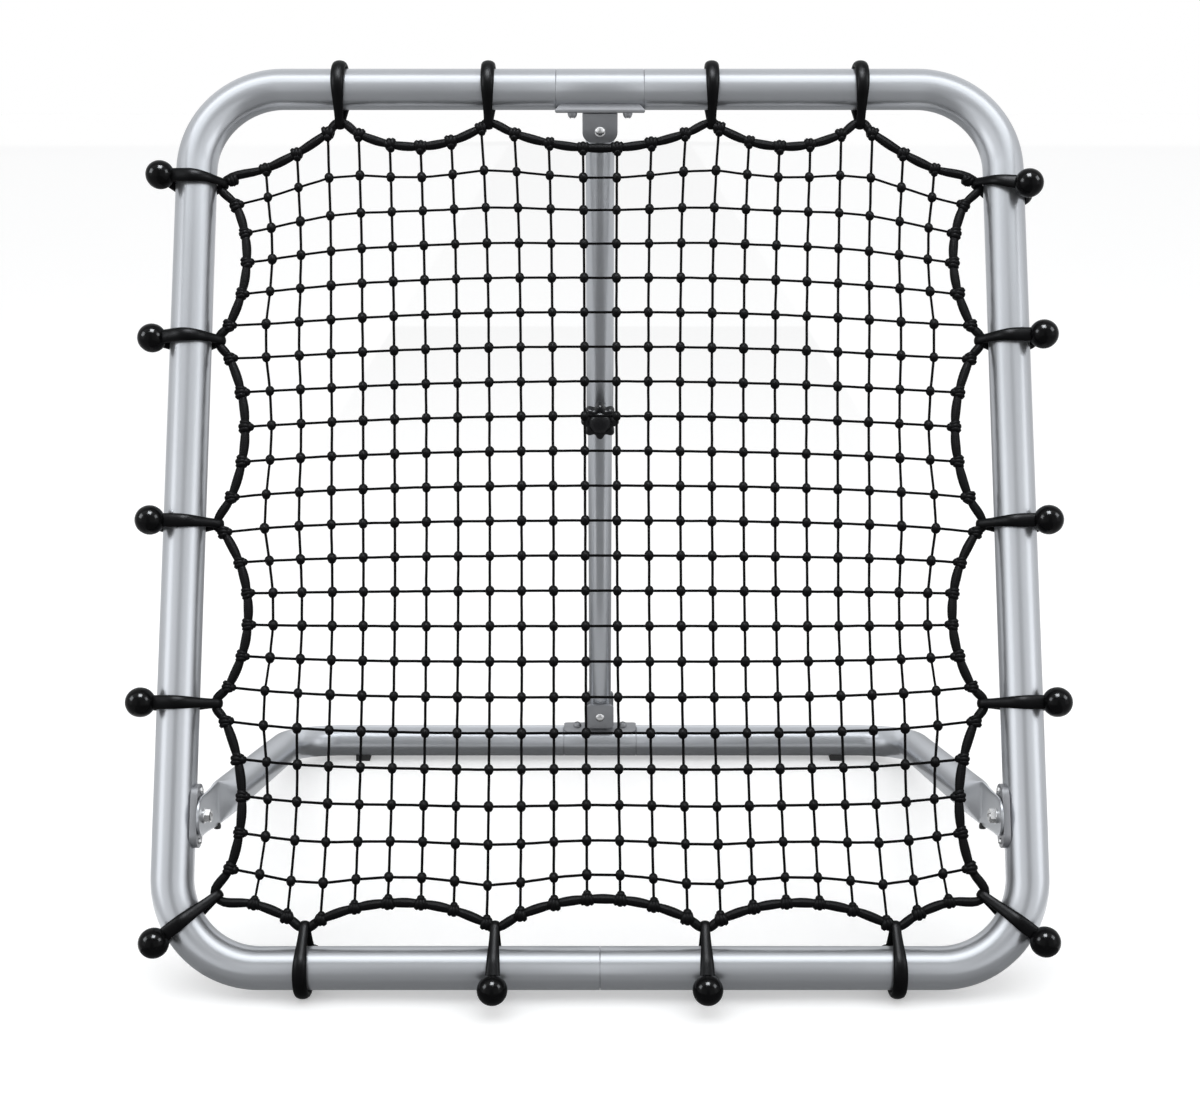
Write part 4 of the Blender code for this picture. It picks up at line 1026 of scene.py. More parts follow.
class REBOUND_OT_brackets(bpy.types.Operator):
    """Seat the saddle brackets on the uprights, with their screws and pivot bolts"""
    bl_idname = "rebound.brackets"
    bl_label = "Brackets and pivots"

    def execute(self, context):
        box = sizes().frame
        stand = sizes().stand
        place = frame_place()
        half = box.width / 2
        face = saddle_face(box)
        screws = []
        bolts = []
        for word, side in SIDES:
            start = Vector((side * face, 0, box.pivot_rise))
            outline = [point + start for point in saddle_outline(box)]
            upright = rod(Vector((side * half, 0, 0)), AXIS_Z, box.tube / 2 + box.seam / 3,
                          0.0, box.height)
            solid(f"saddle_bracket_{word}",
                  plate(outline, AXIS_X * side, box.saddle_thickness + box.saddle_wrap),
                  "grey_casting", "front_frame", [f"side_bracket_{word}"], place,
                  bevel=1.0 * MM, cutters=(upright,))
            inward = placing(Vector(), AXIS_Z, AXIS_X * -side)
            screw_rise = box.saddle_length / 2 - 6.0 * MM
            for rise in (-screw_rise, screw_rise):
                screws.append((place @ (start + AXIS_Z * rise), turn_of(place) @ inward))
            arm_x = side * (face - box.seam - stand.tongue_thickness)
            bolts.append((word, STAND_PLACE @ Vector((arm_x, 0, 0)),
                          turn_of(STAND_PLACE) @ inward))
        scattered("saddle_screws",
                  cross_head(radius=2.9 * MM, height=2.6 * MM, shank=1.6 * MM, depth=3.0 * MM),
                  screws, "bright_steel", "front_frame")
        for word, spot, turn in bolts:
            scattered(f"pivot_bolt_and_washer_{word}", pivot_bolt(), [(spot, turn)],
                      "bright_steel", "stand", [f"pivot_bolt_{word}"], smooth=FLATS_SHARP)
        return {"FINISHED"}


def pivot_bolt():
    """Flanged washer and chamfered hex head, on the plane z = 0."""
    washer, washer_top = 6.8 * MM, 1.6 * MM
    flats, head_top, chamfer = 5.5 * MM, 7.1 * MM, 0.9 * MM
    edge = 0.3 * MM
    profile = [(0.1 * MM, washer), (washer_top - edge, washer), (washer_top, washer - edge),
               (washer_top, flats), (head_top - chamfer, flats), (head_top, flats - chamfer),
               (head_top, flats * 0.55), (head_top - 0.5 * MM, flats * 0.45)]
    return turned(profile, flats=(3, 4))


# Stand

def tongue_sections(stand):
    """The arm's flattened front end, as (distance from the pivot, half thickness, half width,
    squareness): a round nose that widens and then swells to the tube."""
    half_flat = stand.tongue_thickness / 2
    half_wide = stand.tongue_width / 2
    radius = stand.tube / 2
    square = stand.tongue_squareness
    sections = []
    nose_steps, round_steps, first_share = 12, 3, 0.55
    for step in range(1, nose_steps + 1):
        angle = math.pi / 2 * (step / nose_steps - 1)
        rounding = min(1.0, first_share + (1 - first_share) * step / round_steps)
        sections.append((stand.tongue_end * math.sin(angle), half_flat * rounding,
                         stand.tongue_end * math.cos(angle), square))
    flare = half_wide - stand.tongue_end
    for share in np.linspace(0.0, 1.0, 9):
        sections.append((stand.tongue_nose + (stand.tongue_length - stand.tongue_nose) * share,
                         half_flat, stand.tongue_end + flare * ease(share), square))
    for share in np.linspace(0.0, 1.0, 15)[1:]:
        swell = share * (2 - share)
        sections.append((stand.tongue_length + stand.tongue_fade * share,
                         half_flat + (radius - half_flat) * swell,
                         half_wide + (radius - half_wide) * swell, square + (1 - square) * swell))
    return sections


class REBOUND_OT_stand(bpy.types.Operator):
    """Press the arms' tongues, bend the stand's halves and fit its feet and stops"""
    bl_idname = "rebound.stand"
    bl_label = "Stand"

    def execute(self, context):
        box = sizes().frame
        stand = sizes().stand
        arm = saddle_face(box) - box.seam - stand.tongue_thickness / 2
        radius = stand.tube / 2
        seam = box.sleeve / 2 + box.seam
        rim = stand.wall * RIM_SHARE
        for word, side in SIDES:
            rings = [oval_ring(Vector((side * arm, reach, 0)), AXIS_X, AXIS_Z, thick, wide, square)
                     for reach, thick, wide, square in tongue_sections(stand)]
            corner = Vector((side * arm, STAND_ARM, 0))
            end = Vector((side * seam, STAND_ARM, 0))
            stations = bend_stations([Vector((side * arm, 0, 0)), corner, end], stand.bend)[1:]
            stations[-1:] = [(end + AXIS_X * side * rim, stations[-1][1])]
            rings += [oval_ring(place, heading.cross(AXIS_Z), AXIS_Z, radius, radius)
                      for place, heading in stations]
            heading = stations[-1][1]
            for inset, depth in ((rim * 0.3, rim * 0.3), (rim, 0.0), (stand.wall - rim, 0.0),
                                 (stand.wall, rim), (stand.wall, box.insert)):
                rings.append(oval_ring(end - heading * depth, heading.cross(AXIS_Z), AXIS_Z,
                                       radius - inset, radius - inset))
            solid(f"stand_tube_{word}", skin(rings), "silver_paint", "stand",
                  [f"stand_{word}_half"], STAND_PLACE)
            self.foot(stand, word, side, radius)
            self.stop(stand, word, side, arm)
        return {"FINISHED"}

    def foot(self, stand, word, side, radius):
        """Ribbed rubber pad with a saddle for the tube."""
        centre = REAR_BAR + AXIS_X * side * stand.foot_spacing / 2
        half = stand.foot_depth / 2
        top = stand.foot_wrap - radius
        outline = [Vector((0, y * half, z)) for y, z in ((-1, -REAR_BAR.z), (1, -REAR_BAR.z),
                                                       (1, top), (-1, top))]
        start = centre - AXIS_X * stand.foot_length / 2
        tube = rod(centre, AXIS_X, radius + CLEARANCE, -stand.foot_length, stand.foot_length)
        groove_width, groove_depth = 1.2 * MM, 0.8 * MM
        grooves = [block((centre.x, centre.y + half * share, 0.0),
                         (stand.foot_length * 2, groove_width, groove_depth * 2))
                   for share in (-0.5, 0.0, 0.5)]
        pad = plate([point + start for point in outline], AXIS_X, stand.foot_length)
        solid(f"rubber_foot_{word}", pad, "foot_rubber", "stand", [f"foot_{word}"], None,
              bevel=0.6 * MM, cutters=(tube, *grooves))

    def stop(self, stand, word, side, arm):
        """Short rubber stud on the arm's lower edge, which rests on the bracket when folded."""
        spot = Vector((side * arm, stand.tongue_length, -stand.tongue_width / 2))
        half = stand.stop / 2
        profile = [(-2.0 * MM, half * 0.8), (0.0, half), (2.6 * MM, half), (3.4 * MM, half * 0.8),
                   (3.7 * MM, half * 0.3)]
        solid(f"arm_stop_{word}", turned(profile, spot, -AXIS_Z, 32), "foot_rubber", "stand", (),
              STAND_PLACE)


# Strut

def ear_outline(width, near, reach, near_corner, far_corner):
    """A plate in the XZ plane from near to reach along -Z, with its two pairs of corners round."""
    outline = []
    for side, down, corner, edge in ((-1, -1, near_corner, near), (1, -1, near_corner, near),
                                     (1, 1, far_corner, reach), (-1, 1, far_corner, reach)):
        centre = Vector((side * (width / 2 - corner), 0, -(edge - down * corner)))
        turn = [centre + Vector((side * corner * math.cos(angle), 0,
                                 -down * corner * math.sin(angle))) for angle in part_turn(10)]
        outline += turn if side * down > 0 else turn[::-1]
    return outline


def pad_block(length, depth, face, edge, bevel):
    """A flat pad along -Z with a small lip at its face and a bevel towards the bar."""
    lip = 1.0 * MM
    rings = []
    for distance, inset in ((face, lip), (face - lip, 0.0), (face - edge, 0.0),
                            (face - edge - bevel, bevel)):
        rings.append([Vector((x * (length / 2 - inset), y * (depth / 2 - inset), -distance))
                      for x, y in ((-1, -1), (1, -1), (1, 1), (-1, 1))])
    return skin(rings)


def saddle_wings(length, radius, spread):
    """A blank that lies along the bar and spreads round it to both sides, with eased ends."""
    corner = 4.0 * MM
    ends = [(length / 2 - corner * across, spread - corner * slimming / radius)
            for across, slimming in ((0.0, 1.0), (0.3, 0.45), (1.0, 0.0))]
    rows = []
    for x, reach in [(-x, reach) for x, reach in ends] + ends[::-1]:
        arc = [Vector((x, radius * math.sin(angle), -radius * math.cos(angle)))
               for angle in np.linspace(-reach, reach, 25)]
        rows.append(arc + [Vector((x, point.y / 2, point.z / 2)) for point in (arc[-1], arc[0])])
    return skin(rows)


def crowned_plate(outline, near, far, crown):
    """A plate between two depths along Y whose far face swells a little across X."""
    half = max(point.x for point in outline)
    middle = sum(outline, Vector()) / len(outline)
    rings = [[Vector((point.x, near, point.z)) for point in outline]]
    for share in (1.0, 0.94, 0.8, 0.6, 0.4, 0.2, 0.05):
        spots = [middle + (point - middle) * share for point in outline]
        rings.append([Vector((spot.x, far + crown * (1 - (spot.x / half) ** 2), spot.z))
                      for spot in spots])
    return skin(rings)


# The swell of the ears' faces, and the angle to which the lower clevis's wings wrap the bar
EAR_CROWN = 1.6 * MM
WINGS_SPREAD = math.radians(27)


def clevis(name, place, blank, ear, tube, bar, body, node, unions=()):
    """Give a pad that hugs a swivel sleeve along -Z two ears that straddle the strut."""
    outline = ear_outline(**ear)
    near = tube / 2 + CLEARANCE
    far = near + sizes().strut.ear_thickness
    ears = [crowned_plate(outline, side * near, side * far, side * EAR_CROWN) for side in (-1, 1)]
    length = sizes().frame.sleeve
    sleeve = rod(AXIS_X * -length, AXIS_X, bar / 2 + CLEARANCE, 0.0, length * 2)
    solid(name, blank, "grey_casting", body, [node], place, bevel=0.7 * MM,
          unions=(*unions, *ears), cutters=(sleeve,))


def clevis_bolt(tube, ear_thickness):
    """Dome-headed bolt and its nut, through y = 0 with the head at the front."""
    face = tube / 2 + ear_thickness + EAR_CROWN + CLEARANCE
    head, head_height, shank = 5.6 * MM, 3.4 * MM, 3.0 * MM
    nut, nut_height, chamfer = 5.0 * MM, 4.0 * MM, 0.5 * MM
    tail = face + nut_height
    profile = [(-face - head_height * math.cos(angle), head * math.sin(angle))
               for angle in (math.pi / 2 * (step + 0.4) / 8.4 for step in range(9))]
    profile += [(-face, shank), (face, shank), (face, nut - chamfer), (face + chamfer, nut),
                (tail - chamfer, nut), (tail, nut - chamfer), (tail, shank),
                (tail + 1.6 * MM, shank), (tail + 2.0 * MM, shank * 0.7)]
    return turned(profile, axis=AXIS_Y, flats=(12, 13))


class REBOUND_OT_strut(bpy.types.Operator):
    """Hang the telescopic strut between the swivel sleeves, with its clevises and fasteners"""
    bl_idname = "rebound.strut"
    bl_label = "Strut"

    def execute(self, context):
        box = sizes().frame
        stand = sizes().stand
        strut = sizes().strut
        rear = placing(REAR_BAR, -AXIS_X, STRUT_DOWN)
        half = box.sleeve / 2
        inner_start = strut.outer_end - strut.insert
        inner_end = STRUT_LENGTH - strut.lower_pad_face - strut.end_gap
        for name, axis, start, end, place, outer, wall, body, node in (
                ("top_sleeve", AXIS_X, -half, half, STRUT_PLACE, box.tube, box.wall,
                 "strut_upper", "upper_swivel_sleeve"),
                ("rear_sleeve", AXIS_X, -half, half, rear, stand.tube, stand.wall,
                 "strut_lower", "lower_swivel_sleeve"),
                ("strut_tube_outer", -AXIS_Z, strut.upper_pad_face + strut.end_gap,
                 strut.outer_end, STRUT_PLACE, strut.outer, strut.wall, "strut_upper",
                 "strut_outer_tube"),
                ("strut_tube_inner", -AXIS_Z, inner_start, inner_end, STRUT_PLACE, strut.inner,
                 strut.wall, "strut_lower", "strut_inner_tube")):
            tube_piece(name, [axis * start, axis * end], place, outer, wall, body, node)
        pad = pad_block(box.sleeve + strut.pad_overhang * 2, strut.pad_depth,
                        strut.upper_pad_face, strut.pad_edge, strut.pad_bevel)
        pad.transform(Matrix.Rotation(-STRUT_LEAN, 4, "X"))
        ear = {"width": strut.upper_width, "near": strut.upper_pad_face - strut.pad_edge / 2,
               "reach": strut.upper_reach, "near_corner": 0.5 * MM,
               "far_corner": strut.ear_corner}
        clevis("top_clevis", STRUT_PLACE, pad, ear, strut.outer, box.tube, "strut_upper",
               "upper_clevis")
        wings = saddle_wings(box.sleeve, strut.lower_saddle, WINGS_SPREAD)
        middle = pad_block(strut.lower_width, strut.lower_block, strut.lower_pad_face,
                           edge=0.8 * MM, bevel=7.2 * MM)
        ear = {"width": strut.lower_width, "near": strut.lower_pad_face - 0.5 * MM,
               "reach": strut.lower_reach, "near_corner": 4.5 * MM, "far_corner": 5.0 * MM}
        clevis("rear_clevis", rear, wings, ear, strut.inner, stand.tube, "strut_lower",
               "lower_clevis", (middle,))
        self.fasteners(strut, rear)
        self.key(strut)
        return {"FINISHED"}

    def fasteners(self, strut, rear):
        """Dome bolts through the ears and pan screws under the pads."""
        for name, tube, spot, body, node in (
                ("top_clevis_bolt", strut.outer, STRUT_PLACE @ Vector((0, 0, -strut.upper_bolt)),
                 "strut_upper", "upper_clevis_bolt"),
                ("rear_clevis_bolt", strut.inner, REAR_BAR - STRUT_DOWN * strut.lower_bolt,
                 "strut_lower", "lower_clevis_bolt")):
            scattered(name, clevis_bolt(tube, strut.ear_thickness),
                      [(spot, turn_of(STRUT_PLACE))], "bright_steel", body, [node],
                      smooth=FLATS_SHARP)
        level = STRUT_PLACE @ Matrix.Rotation(-STRUT_LEAN, 4, "X")
        for name, place, forward, face, head, body in (
                ("top_pad_screws", level, 12.0 * MM, strut.upper_pad_face, 6.2 * MM,
                 "strut_upper"),
                ("rear_pad_screws", rear, 0.0, strut.lower_saddle, 4.4 * MM, "strut_lower")):
            away = turn_of(place) @ Matrix.Rotation(math.pi, 4, "X")
            spots = [(place @ Vector((side * strut.pad_screw_spacing / 2, -forward, -face)), away)
                     for _, side in SIDES]
            scattered(name, cross_head(radius=4.6 * MM, height=head, shank=2.4 * MM,
                                       depth=3.0 * MM), spots, "grey_casting", body)

    def key(self, strut):
        """A small pressed key on the strut's front, under the top clevis."""
        half_width, half_height, squareness = 2.3 * MM, 5.0 * MM, 0.45
        proud, depth = 1.1 * MM, 2.6 * MM
        outline = []
        for angle in full_turn(24, 0.5):
            across, up = (math.copysign(abs(share) ** squareness, share)
                          for share in (math.cos(angle), math.sin(angle)))
            outline.append(Vector((half_width * across, -strut.outer / 2 - proud,
                                   half_height * up - strut.key_drop)))
        solid("strut_key", plate(outline, AXIS_Y, depth), "silver_paint", "strut_upper", (),
              STRUT_PLACE, bevel=0.3 * MM)


class REBOUND_OT_clamp(bpy.types.Operator):
    """Turn the clamp's boss and mould its lobed knob"""
    bl_idname = "rebound.clamp"
    bl_label = "Clamp"

    def execute(self, context):
        strut = sizes().strut
        centre = Vector((0, 0, -strut.clamp_drop))
        face = strut.outer / 2 + strut.boss_height
        radius = strut.boss / 2
        edge = 1.0 * MM
        boss = turned(((0.0, radius), (face - edge, radius), (face, radius - edge),
                       (face, radius * 0.5)), centre, -AXIS_Y, 64)
        tube = rod(centre, AXIS_Z, strut.outer / 2 + CLEARANCE / 2, -strut.boss, strut.boss)
        solid("clamp_boss_turned", boss, "grey_casting", "strut_upper", ["clamp_boss"],
              STRUT_PLACE, cutters=(tube,))
        self.knob(strut, centre, face + 0.3 * MM)
        return {"FINISHED"}

    def knob(self, strut, centre, seat):
        """Lobed rim round a domed cap, and the screw behind, as rows of distance, radius and
        how far they share in the lobes."""
        outer = strut.knob / 2
        cap = strut.knob_cap / 2
        edge = strut.knob_edge
        front = seat + strut.knob_thickness
        screw = 4.0 * MM
        rows = [(strut.inner / 2 + 0.3 * MM, screw, 0.0), (seat, screw, 0.0), (seat, cap, 0.0),
                (seat, outer - edge * 2.2, 0.6)]
        for angle in part_turn(6):
            rows.append((seat + edge * (1 - math.cos(angle)),
                         outer - edge * (1 - math.sin(angle)), 1.0))
        for angle in part_turn(6):
            rows.append((front - edge * (1 - math.sin(angle)),
                         outer - edge * (1 - math.cos(angle)), 1.0))
        dip = 0.8 * MM
        rows += [(front - dip * 0.3, cap + dip * 2, 0.35), (front - dip, cap + dip, 0.1)]
        for angle in part_turn(8, first=1)[:-1]:
            rows.append((front + strut.knob_cap_rise * math.sin(angle), cap * math.cos(angle),
                         0.0))
        lobe_power = 1.25
        rings = []
        for distance, radius, lobed in rows:
            ring = []
            for angle in full_turn(strut.knob_lobes * 14):
                hollow = (1 - math.cos(strut.knob_lobes * angle)) / 2
                reach = radius - lobed * strut.knob_lobe_depth * hollow ** lobe_power
                ring.append(centre + Vector((reach * math.cos(angle), -distance,
                                             reach * math.sin(angle))))
            rings.append(ring)
        solid("clamp_knob_moulded", skin(rings), "black_knob", "knob", ["clamp_knob"],
              STRUT_PLACE, smooth=KNOB_SHARP)


# Bungees

def circle_points(centre, radius):
    return [(centre + radius * math.cos(angle), radius * math.sin(angle))
            for angle in full_turn(96)]


def convex_hull(points):
    """Corners of the hull, anticlockwise."""
    def half_hull(ordered):
        chain = []
        for point in ordered:
            while len(chain) > 1:
                (ax, ay), (bx, by) = chain[-2:]
                if (bx - ax) * (point[1] - ay) - (by - ay) * (point[0] - ax) > 0.0:
                    break
                chain.pop()
            chain.append(point)
        return chain[:-1]

    ordered = sorted(points)
    return half_hull(ordered) + half_hull(ordered[::-1])


def even_path(points, total):
    """Equally spaced 2D points and headings along an open path."""
    line = np.array(points)
    lengths = np.concatenate(([0.0], np.cumsum(np.hypot(*np.diff(line, axis=0).T))))
    wanted = np.linspace(0.0, lengths[-1], total)
    spots = np.stack([np.interp(wanted, lengths, line[:, axis]) for axis in (0, 1)], axis=1)
    headings = np.gradient(spots, axis=0)
    headings /= np.linalg.norm(headings, axis=1)[:, None]
    return spots, headings


def strap_rings(hook, kink, box, net):
    """Sections of one bungee's loop round the tube and the rope, from its ball and back, in the
    frame's plane. Also returns the ball's place.

    The loop lies in a plane square to the frame: x runs from the tube to the rope, y to the
    front. It is the hull of the tube, the rope and the ball's centre.
    """
    crossing = hook.crossing
    inward = hook.rope - crossing
    standoff = inward.length
    inward.normalize()
    front = -AXIS_Y
    across = inward.cross(front)
    slant = math.acos(min(abs(across.dot(hook.tangent)), 1.0))
    radius = box.tube / 2
    tube_reach = radius / math.cos(slant) + net.strap_thickness / 2 + CLEARANCE * 2
    rope_reach = net.rope_waist / 2 + net.strap_tip_thickness / 2
    loop_end = standoff + net.rope_waist / 2 * (1 / math.cos(min(kink, STRAP_KINK_LIMIT)) - 1)
    angle = math.pi - math.radians(hook.roll)
    ball = (net.ball_reach * math.cos(angle), net.ball_reach * math.sin(angle))
    hull = convex_hull(circle_points(0.0, tube_reach) + circle_points(loop_end, rope_reach)
                       + [ball])
    start = hull.index(ball)
    spots, headings = even_path(hull[start:] + hull[:start + 1], STRAP_STATIONS)
    rings = []
    fade_start = radius * 0.2
    neck_length = net.ball * 1.3
    for (x, y), (run_x, run_y) in zip(spots, headings):
        share = ease(min(max((x + fade_start) / (loop_end + fade_start), 0.0), 1.0))
        neck = 1.0 - ease(min(math.dist((x, y), ball) / neck_length, 1.0))
        slimmer = net.strap_tip_thickness - net.strap_thickness
        thick = net.strap_thickness + slimmer * max(share, neck)
        wide = net.strap_width + (net.strap_tip_width - net.strap_width) * share
        spot = crossing + inward * x + front * y
        outward = inward * run_y - front * run_x
        rings.append(oval_ring(spot, across, outward, wide / 2, thick / 2, sides=STRAP_SIDES))
    return rings, crossing + inward * ball[0] + front * ball[1]


def ball_pattern(radius):
    """A moulded ball with a fine parting line."""
    rows, bore, groove = 22, 4, 0.12 * MM
    profile = []
    for step in range(rows + 1):
        angle = math.radians(bore) + math.radians(180 - 2 * bore) * step / rows
        parting = groove if step == rows // 2 else 0.0
        profile.append((-radius * math.cos(angle), (radius - parting) * math.sin(angle)))
    return turned(profile, sides=40)


class REBOUND_OT_bungees(bpy.types.Operator):
    """Loop a rubber strap round the tube and the rope at every hook, and thread its ball"""
    bl_idname = "rebound.bungees"
    bl_label = "Ball bungees"

    def execute(self, context):
        box = sizes().frame
        net = sizes().net
        hooks, places, loop, _ = net_at_rest()
        place = frame_place()
        loops = []
        balls = []
        for hook in hooks:
            inward = (hook.rope - hook.crossing).normalized()
            rings, ball = strap_rings(hook, rope_lean(places, loop, hook.key, inward), box, net)
            loops.append(skin(rings))
            balls.append((place @ ball, turn_of(place)
                          @ placing(Vector(), hook.tangent, AXIS_Y)))
        straps = gathered(loops)
        flatten = place.inverted()
        for vert in straps.verts:
            spot = place @ vert.co
            if spot.z < CLEARANCE:
                vert.co = flatten @ Vector((spot.x, spot.y, CLEARANCE))
        solid("bungee_straps", straps, "bungee_rubber", "front_frame",
              [f"bungee_strap_{hook.name}" for hook in hooks], place, smooth=BUNGEE_SHARP)
        scattered("bungee_balls", ball_pattern(net.ball / 2), balls, "black_ball", "front_frame",
                  [f"bungee_ball_{hook.name}" for hook in hooks], smooth=BUNGEE_SHARP)
        return {"FINISHED"}


# Net and rope

def knot_pattern(net):
    """One knot of the net: an egg with two wraps that cross in front."""
    half = net.knot_width / 2
    return egg(10, 8, (half, half * 0.9, net.knot_height / 2), wrap=0.09, twist=2.2, taper=0.12)


def rope_line(places, loop, net):
    """Fine places and girths along the rope, and the tangent and place of each tie.

    The rope swells between its ties and straps and is drawn in where they hold it."""
    count = len(loop)
    strap_pinch, swell_power = 0.6 * MM, 0.7
    spots = [places[key] for key in loop]
    tied = [not isinstance(key[1], str) and float(key[1]).is_integer() for key in loop]
    line = []
    girths = []
    for number in range(count):
        before, start, end, after = (spots[(number + step) % count] for step in (-1, 0, 1, 2))
        reach = (end - start).length
        leave = (end - before).normalized() * reach
        arrive = (after - start).normalized() * reach
        slim = 0.5 * (tied[number] + tied[(number + 1) % count])
        for step in range(ROPE_STEPS):
            t = step / ROPE_STEPS
            spot = (start * (2 * t ** 3 - 3 * t ** 2 + 1) + leave * (t ** 3 - 2 * t ** 2 + t)
                    + end * (3 * t ** 2 - 2 * t ** 3) + arrive * (t ** 3 - t ** 2))
            pinch = 1 - math.sin(math.pi * t) ** swell_power
            girth = net.rope - (net.rope - net.rope_waist) * pinch - strap_pinch * (1 - slim)
            line.append(spot)
            girths.append(girth / 2)
    ties = []
    for number, key in enumerate(loop):
        if tied[number]:
            tangent = (spots[(number + 1) % count] - spots[number - 1]).normalized()
            ties.append((key, spots[number], tangent))
    return line, girths, ties


def add_ring(bm, centre, axis, major, minor):
    """A torus about an axis."""
    across = axis.orthogonal().normalized()
    other = axis.cross(across)
    rows = []
    for angle in full_turn(14):
        spoke = across * math.cos(angle) + other * math.sin(angle)
        rows.append([bm.verts.new(centre + spoke * (major + minor * math.cos(tilt))
                                  + axis * minor * math.sin(tilt)) for tilt in full_turn(6)])
    for row, following in zip(rows, rows[1:] + rows[:1]):
        for side in range(len(row)):
            after = (side + 1) % len(row)
            bm.faces.new((row[side], row[after], following[after], following[side]))


# A tie's crossing strand, the lump at its back and the bead of its knot, as segments, rings, half
# sizes, wrap, twist, place and tilt in degrees
TIE_LUMPS = (
    (8, 6, (1.6 * MM, 1.7 * MM, 5.0 * MM), 0.0, 0.0, (0, -5.0 * MM, 0), 42),
    (8, 6, (3.0 * MM, 3.4 * MM, 2.6 * MM), 0.0, 0.0, (0, 0, -3.6 * MM), 0),
    (10, 8, (4.0 * MM, 4.3 * MM, 3.5 * MM), 0.08, -2.0, (0, 0, 4.5 * MM), 0),
)


def tie_pattern(bead):
    """The hitch that ties a cord to the rope: X along the rope, Z towards the net."""
    major, minor = 3.0 * MM, 2.7 * MM
    pitch, lean, middle_swell = 3.0 * MM, 0.25, 0.4 * MM
    coils = bmesh.new()
    for side in (-1, 0, 1):
        add_ring(coils, Vector((side * pitch, 0, 0)), Vector((1, 0, side * lean)).normalized(),
                 major + (1 - side ** 2) * middle_swell, minor)
    parts = [coils]
    for *shape, place, tilt in TIE_LUMPS if bead else TIE_LUMPS[:-1]:
        lump = egg(*shape)
        lump.transform(Matrix.Translation(place) @ Matrix.Rotation(math.radians(tilt), 4, "Y"))
        parts.append(lump)
    return gathered(parts)


def tangent_square(tangent, towards):
    """The part of a tangent that is square to a direction."""
    return (tangent - towards * tangent.dot(towards)).normalized()


class REBOUND_OT_rope(bpy.types.Operator):
    """Lay the border rope and tie the net's cords to it"""
    bl_idname = "rebound.rope"
    bl_label = "Border rope"

    def execute(self, context):
        net = sizes().net
        _, places, loop, cords = net_at_rest()
        place = frame_place()
        line, girths, ties = rope_line(places, loop, net)
        curve = poly_curve("border_rope_braided", [place @ spot for spot in line], girths, True)
        made = grown("border_rope_braided", curve, rope_tree(), "black_rope", Sides=ROPE_SIDES)
        made.data.shade_smooth()
        place_piece(made, "black_rope", "front_frame", "border_rope")
        inner = {}
        for near, far in cords:
            if isinstance(near[0], str):
                inner[near] = far
            if isinstance(far[0], str):
                inner[far] = near
        turn = turn_of(place)
        spots = []
        for key, spot, tangent in ties:
            towards = (places[inner[key]] - spot).normalized()
            spots.append((place @ spot, turn @ placing(Vector(), tangent_square(tangent, towards),
                                                       towards)))
        scattered("rope_ties", tie_pattern(bead=True), spots, "black_rope", "front_frame",
                  twist=0.16, swell=0.06, smooth=CORD_SHARP)
        collars = []
        for word, next_column in (("left", 1), ("right", net.columns)):
            corner = places["top", word]
            beside = places["top", next_column]
            along = (beside - corner).normalized()
            down = tangent_square(-AXIS_Z, along)
            collars.append((place @ corner.lerp(beside, CORNER_COLLAR_SHARE),
                            turn @ placing(Vector(), along, down)))
        scattered("corner_collars", tie_pattern(bead=False), collars, "black_rope",
                  "front_frame", smooth=CORD_SHARP)
        return {"FINISHED"}


class REBOUND_OT_net(bpy.types.Operator):
    """String the net and knot it at every crossing"""
    bl_idname = "rebound.net"
    bl_label = "Net"

    def execute(self, context):
        net = sizes().net
        _, places, _, cords = net_at_rest()
        place = frame_place()
        keys = sorted({key for pair in cords for key in pair}, key=str)
        index = {key: number for number, key in enumerate(keys)}
        mesh = bpy.data.meshes.new("net_lattice")
        mesh.from_pydata([tuple(place @ places[key]) for key in keys],
                         [(index[near], index[far]) for near, far in cords], [])
        made = grown("net_cords", new_object("net_lattice", mesh), cord_tree(), "black_cord",
                     **{"Cord Radius": net.cord / 2, "Sides": CORD_SIDES, "Steps": CORD_STEPS,
                        "Wander": CORD_WANDER, "Wander Scale": CORD_WANDER_SCALE})
        made.data.shade_smooth()
        place_piece(made, "black_cord", "front_frame", "net_mesh")
        turn = turn_of(place)
        spots = [(place @ places[key], turn) for key in keys if not isinstance(key[0], str)]
        scattered("net_knots", knot_pattern(net), spots, "black_cord", "front_frame",
                  twist=0.22, swell=0.05, smooth=CORD_SHARP)
        return {"FINISHED"}


class REBOUND_OT_carried_nodes(bpy.types.Operator):
    """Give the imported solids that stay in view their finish"""
    bl_idname = "rebound.carried_nodes"
    bl_label = "Spigots"

    def execute(self, context):
        for node in ("top_spigot", "rear_spigot"):
            materials = frame["nodes"][node].data.materials
            materials.clear()
            materials.append(finish("grey_casting"))
        return {"FINISHED"}


# Studio

FOCAL_LENGTH = 50.55
SENSOR = 36.0
CAMERA_PLACE = Vector((0.0, -1.5344, 0.839))
CAMERA_PITCH = math.radians(18.0)

# The floor, with a glow of its own for the rays that see it, and the world's light, which is
# white where it is seen
FLOOR_HALF = 12.0
FLOOR_GREY = 0.8
FLOOR_ROUGHNESS = 0.5
FLOOR_GLOW = 0.275
WORLD_LIGHT = 0.83

# The lamps, as place, target, width, height and power. The side box stands at both sides.
OVERHEAD_STRIP = ((0.0, -0.625, 2.2), (0.0, -0.625, 0.0), 4.0, 1.35, 24.0)
SIDE_BOX = ((2.6, -1.5, 1.5), (0.0, 0.0, 0.4), 1.2, 1.8, 12.0)
STRIP_TINT = (0.95, 0.98, 1.0)
GLINT_TINT = (0.93, 0.96, 1.0)
GLINT_TARGET = (0.0, 0.0, 0.4)

